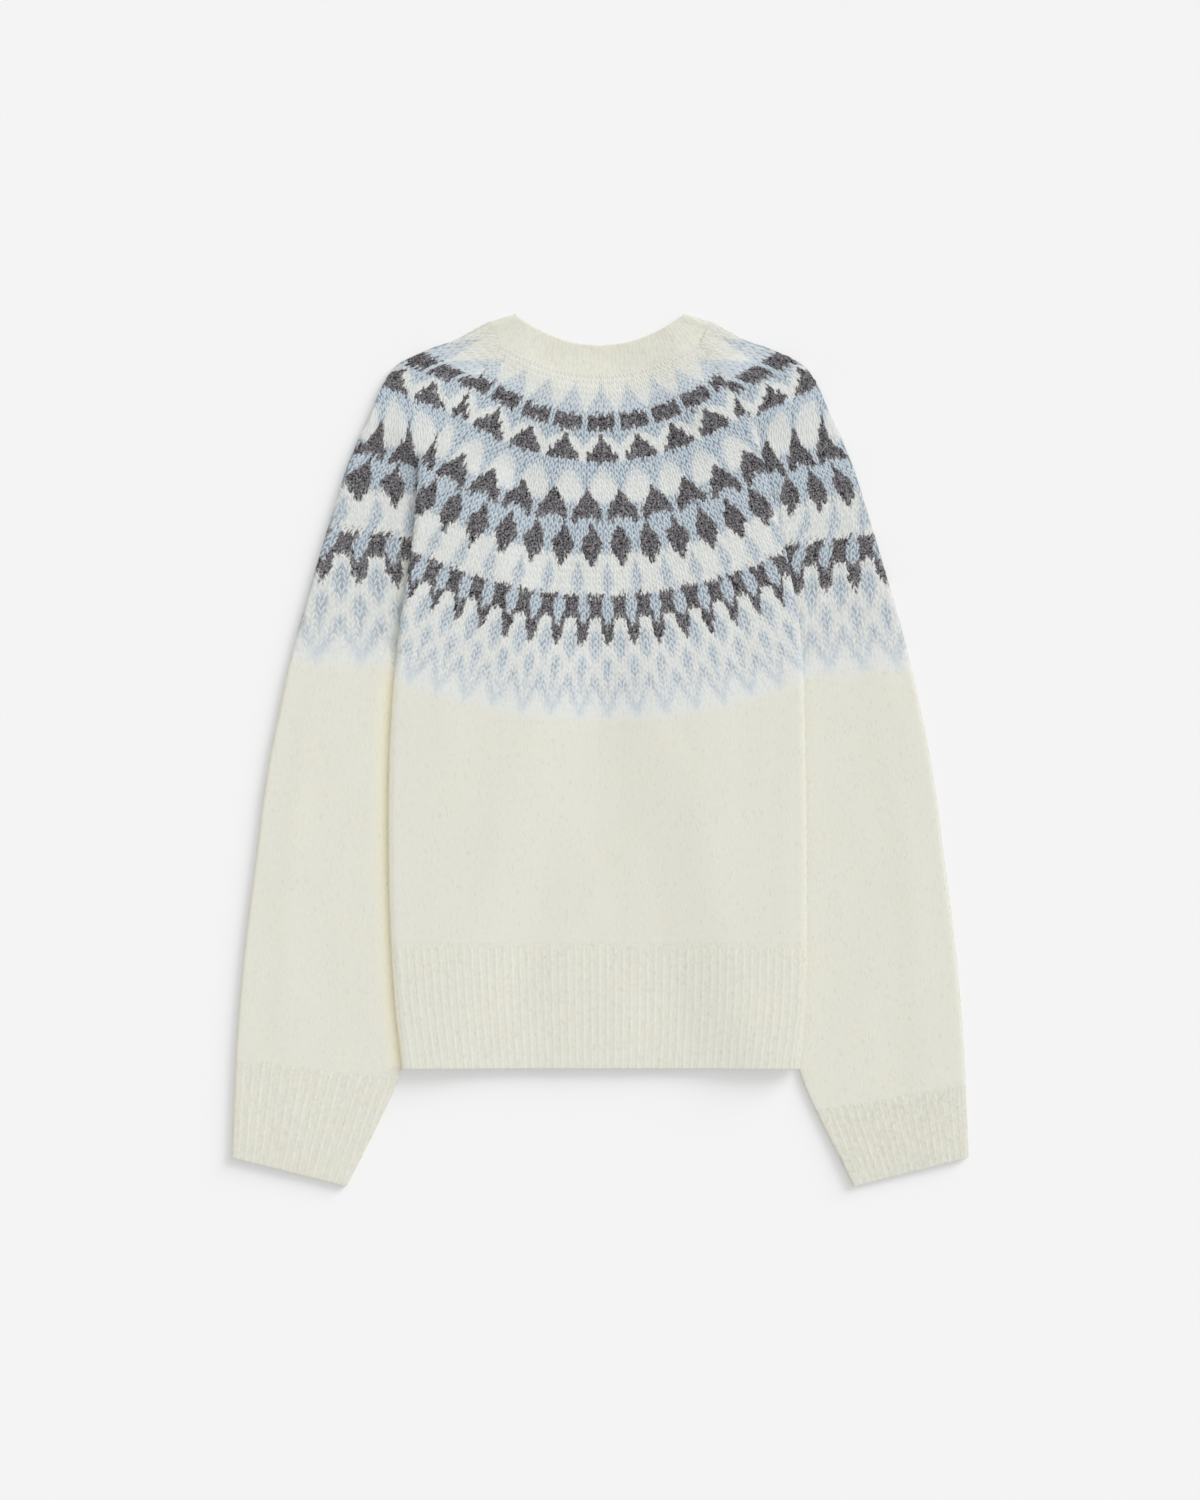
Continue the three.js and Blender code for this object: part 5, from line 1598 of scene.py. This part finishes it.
KEY_SPREAD, KEY_AIM = 50, (-1.0, -0.85, -1.55)
LOW_SPREAD, LOW_AIM = 32, (-1.2, -1.0, -0.72)
FLOOR_HALF = 30.0  # metres, far past what any view shows
LENS, SENSOR = 100, 36
CAMERA_Y = 0.385  # millimetres from the cardigan's own zero
FRAME_HEIGHT = 1.155  # metres of floor from the top to the bottom of the picture
FARTHEST = 100  # metres that the camera sees
BACKDROP = 0.88  # brightness of the studio's wall beyond the paper


def studio_world(sky):
    """Even white light all round, brighter where the camera sees it."""
    world = bpy.data.worlds.new("studio")
    world.use_nodes = True
    tree = world.node_tree
    background = tree.nodes["Background"]
    background.inputs["Color"].default_value = (1, 1, 1, 1)
    seen = add_node(tree, "ShaderNodeLightPath").outputs["Is Camera Ray"]
    strength = maths(tree, "ADD", sky, maths(tree, "MULTIPLY", seen, BACKDROP - sky))
    tree.links.new(strength, background.inputs["Strength"])
    return world


class CARDIGAN_OT_stage(bpy.types.Operator):
    """Lay the floor and set the light and the camera"""

    bl_idname = "cardigan.stage"
    bl_label = "Floor, light and camera"
    bl_options = {"REGISTER", "UNDO"}

    def execute(self, context):
        scene, settings = context.scene, context.scene.cardigan
        bpy.ops.object.select_all(action="DESELECT")
        bpy.ops.mesh.primitive_plane_add(size=2 * FLOOR_HALF)
        ground = context.object
        ground.name = ground.data.name = "floor"
        ground.data.materials.append(paper(tuple(settings.floor), settings.floor_glow))
        lamp = sunlight("key", settings.sun, KEY_SPREAD, KEY_AIM)
        low = sunlight("low", settings.low_sun, LOW_SPREAD, LOW_AIM)
        lit = bpy.data.collections.new("Lit by the low light")
        lit.objects.link(ground)
        low.light_linking.receiver_collection = lit
        camera = bpy.data.cameras.new("camera")
        camera.lens = LENS
        camera.sensor_width = SENSOR
        camera.clip_end = FARTHEST
        eye = bpy.data.objects.new("camera", camera)
        away = FRAME_HEIGHT / 2 / (SENSOR / 2 / LENS)
        eye.location = (ORIGIN[0] * MM, (ORIGIN[1] + CAMERA_Y) * MM, away)
        for obj in (lamp, low, eye):
            scene.collection.objects.link(obj)
        scene.camera = eye
        scene.view_settings.view_transform = "Standard"
        scene.world = studio_world(settings.sky)
        return {"FINISHED"}


STEPS = (CARDIGAN_OT_body, CARDIGAN_OT_sleeves, CARDIGAN_OT_ribs, CARDIGAN_OT_bands, CARDIGAN_OT_stage)


class CARDIGAN_PT_panel(bpy.types.Panel):
    """Cardigan settings and steps in the sidebar"""

    bl_idname = "CARDIGAN_PT_panel"
    bl_label = "Jacquard Cardigan"
    bl_space_type = "VIEW_3D"
    bl_region_type = "UI"
    bl_category = "Cardigan"

    def draw(self, context):
        settings = context.scene.cardigan
        for name in CardiganSettings.__annotations__:
            self.layout.prop(settings, name)
        for step in STEPS:
            self.layout.operator(step.bl_idname)


CLASSES = (CardiganSettings, *STEPS, CARDIGAN_PT_panel)


def register():
    for cls in CLASSES:
        bpy.utils.register_class(cls)
    bpy.types.Scene.cardigan = bpy.props.PointerProperty(type=CardiganSettings)


def unregister():
    del bpy.types.Scene.cardigan
    for cls in reversed(CLASSES):
        bpy.utils.unregister_class(cls)


def main():
    register()
    bpy.ops.cardigan.body()
    bpy.ops.cardigan.sleeves()
    bpy.ops.cardigan.ribs()
    bpy.ops.cardigan.bands()
    bpy.ops.cardigan.stage()


if __name__ == "__main__":
    main()
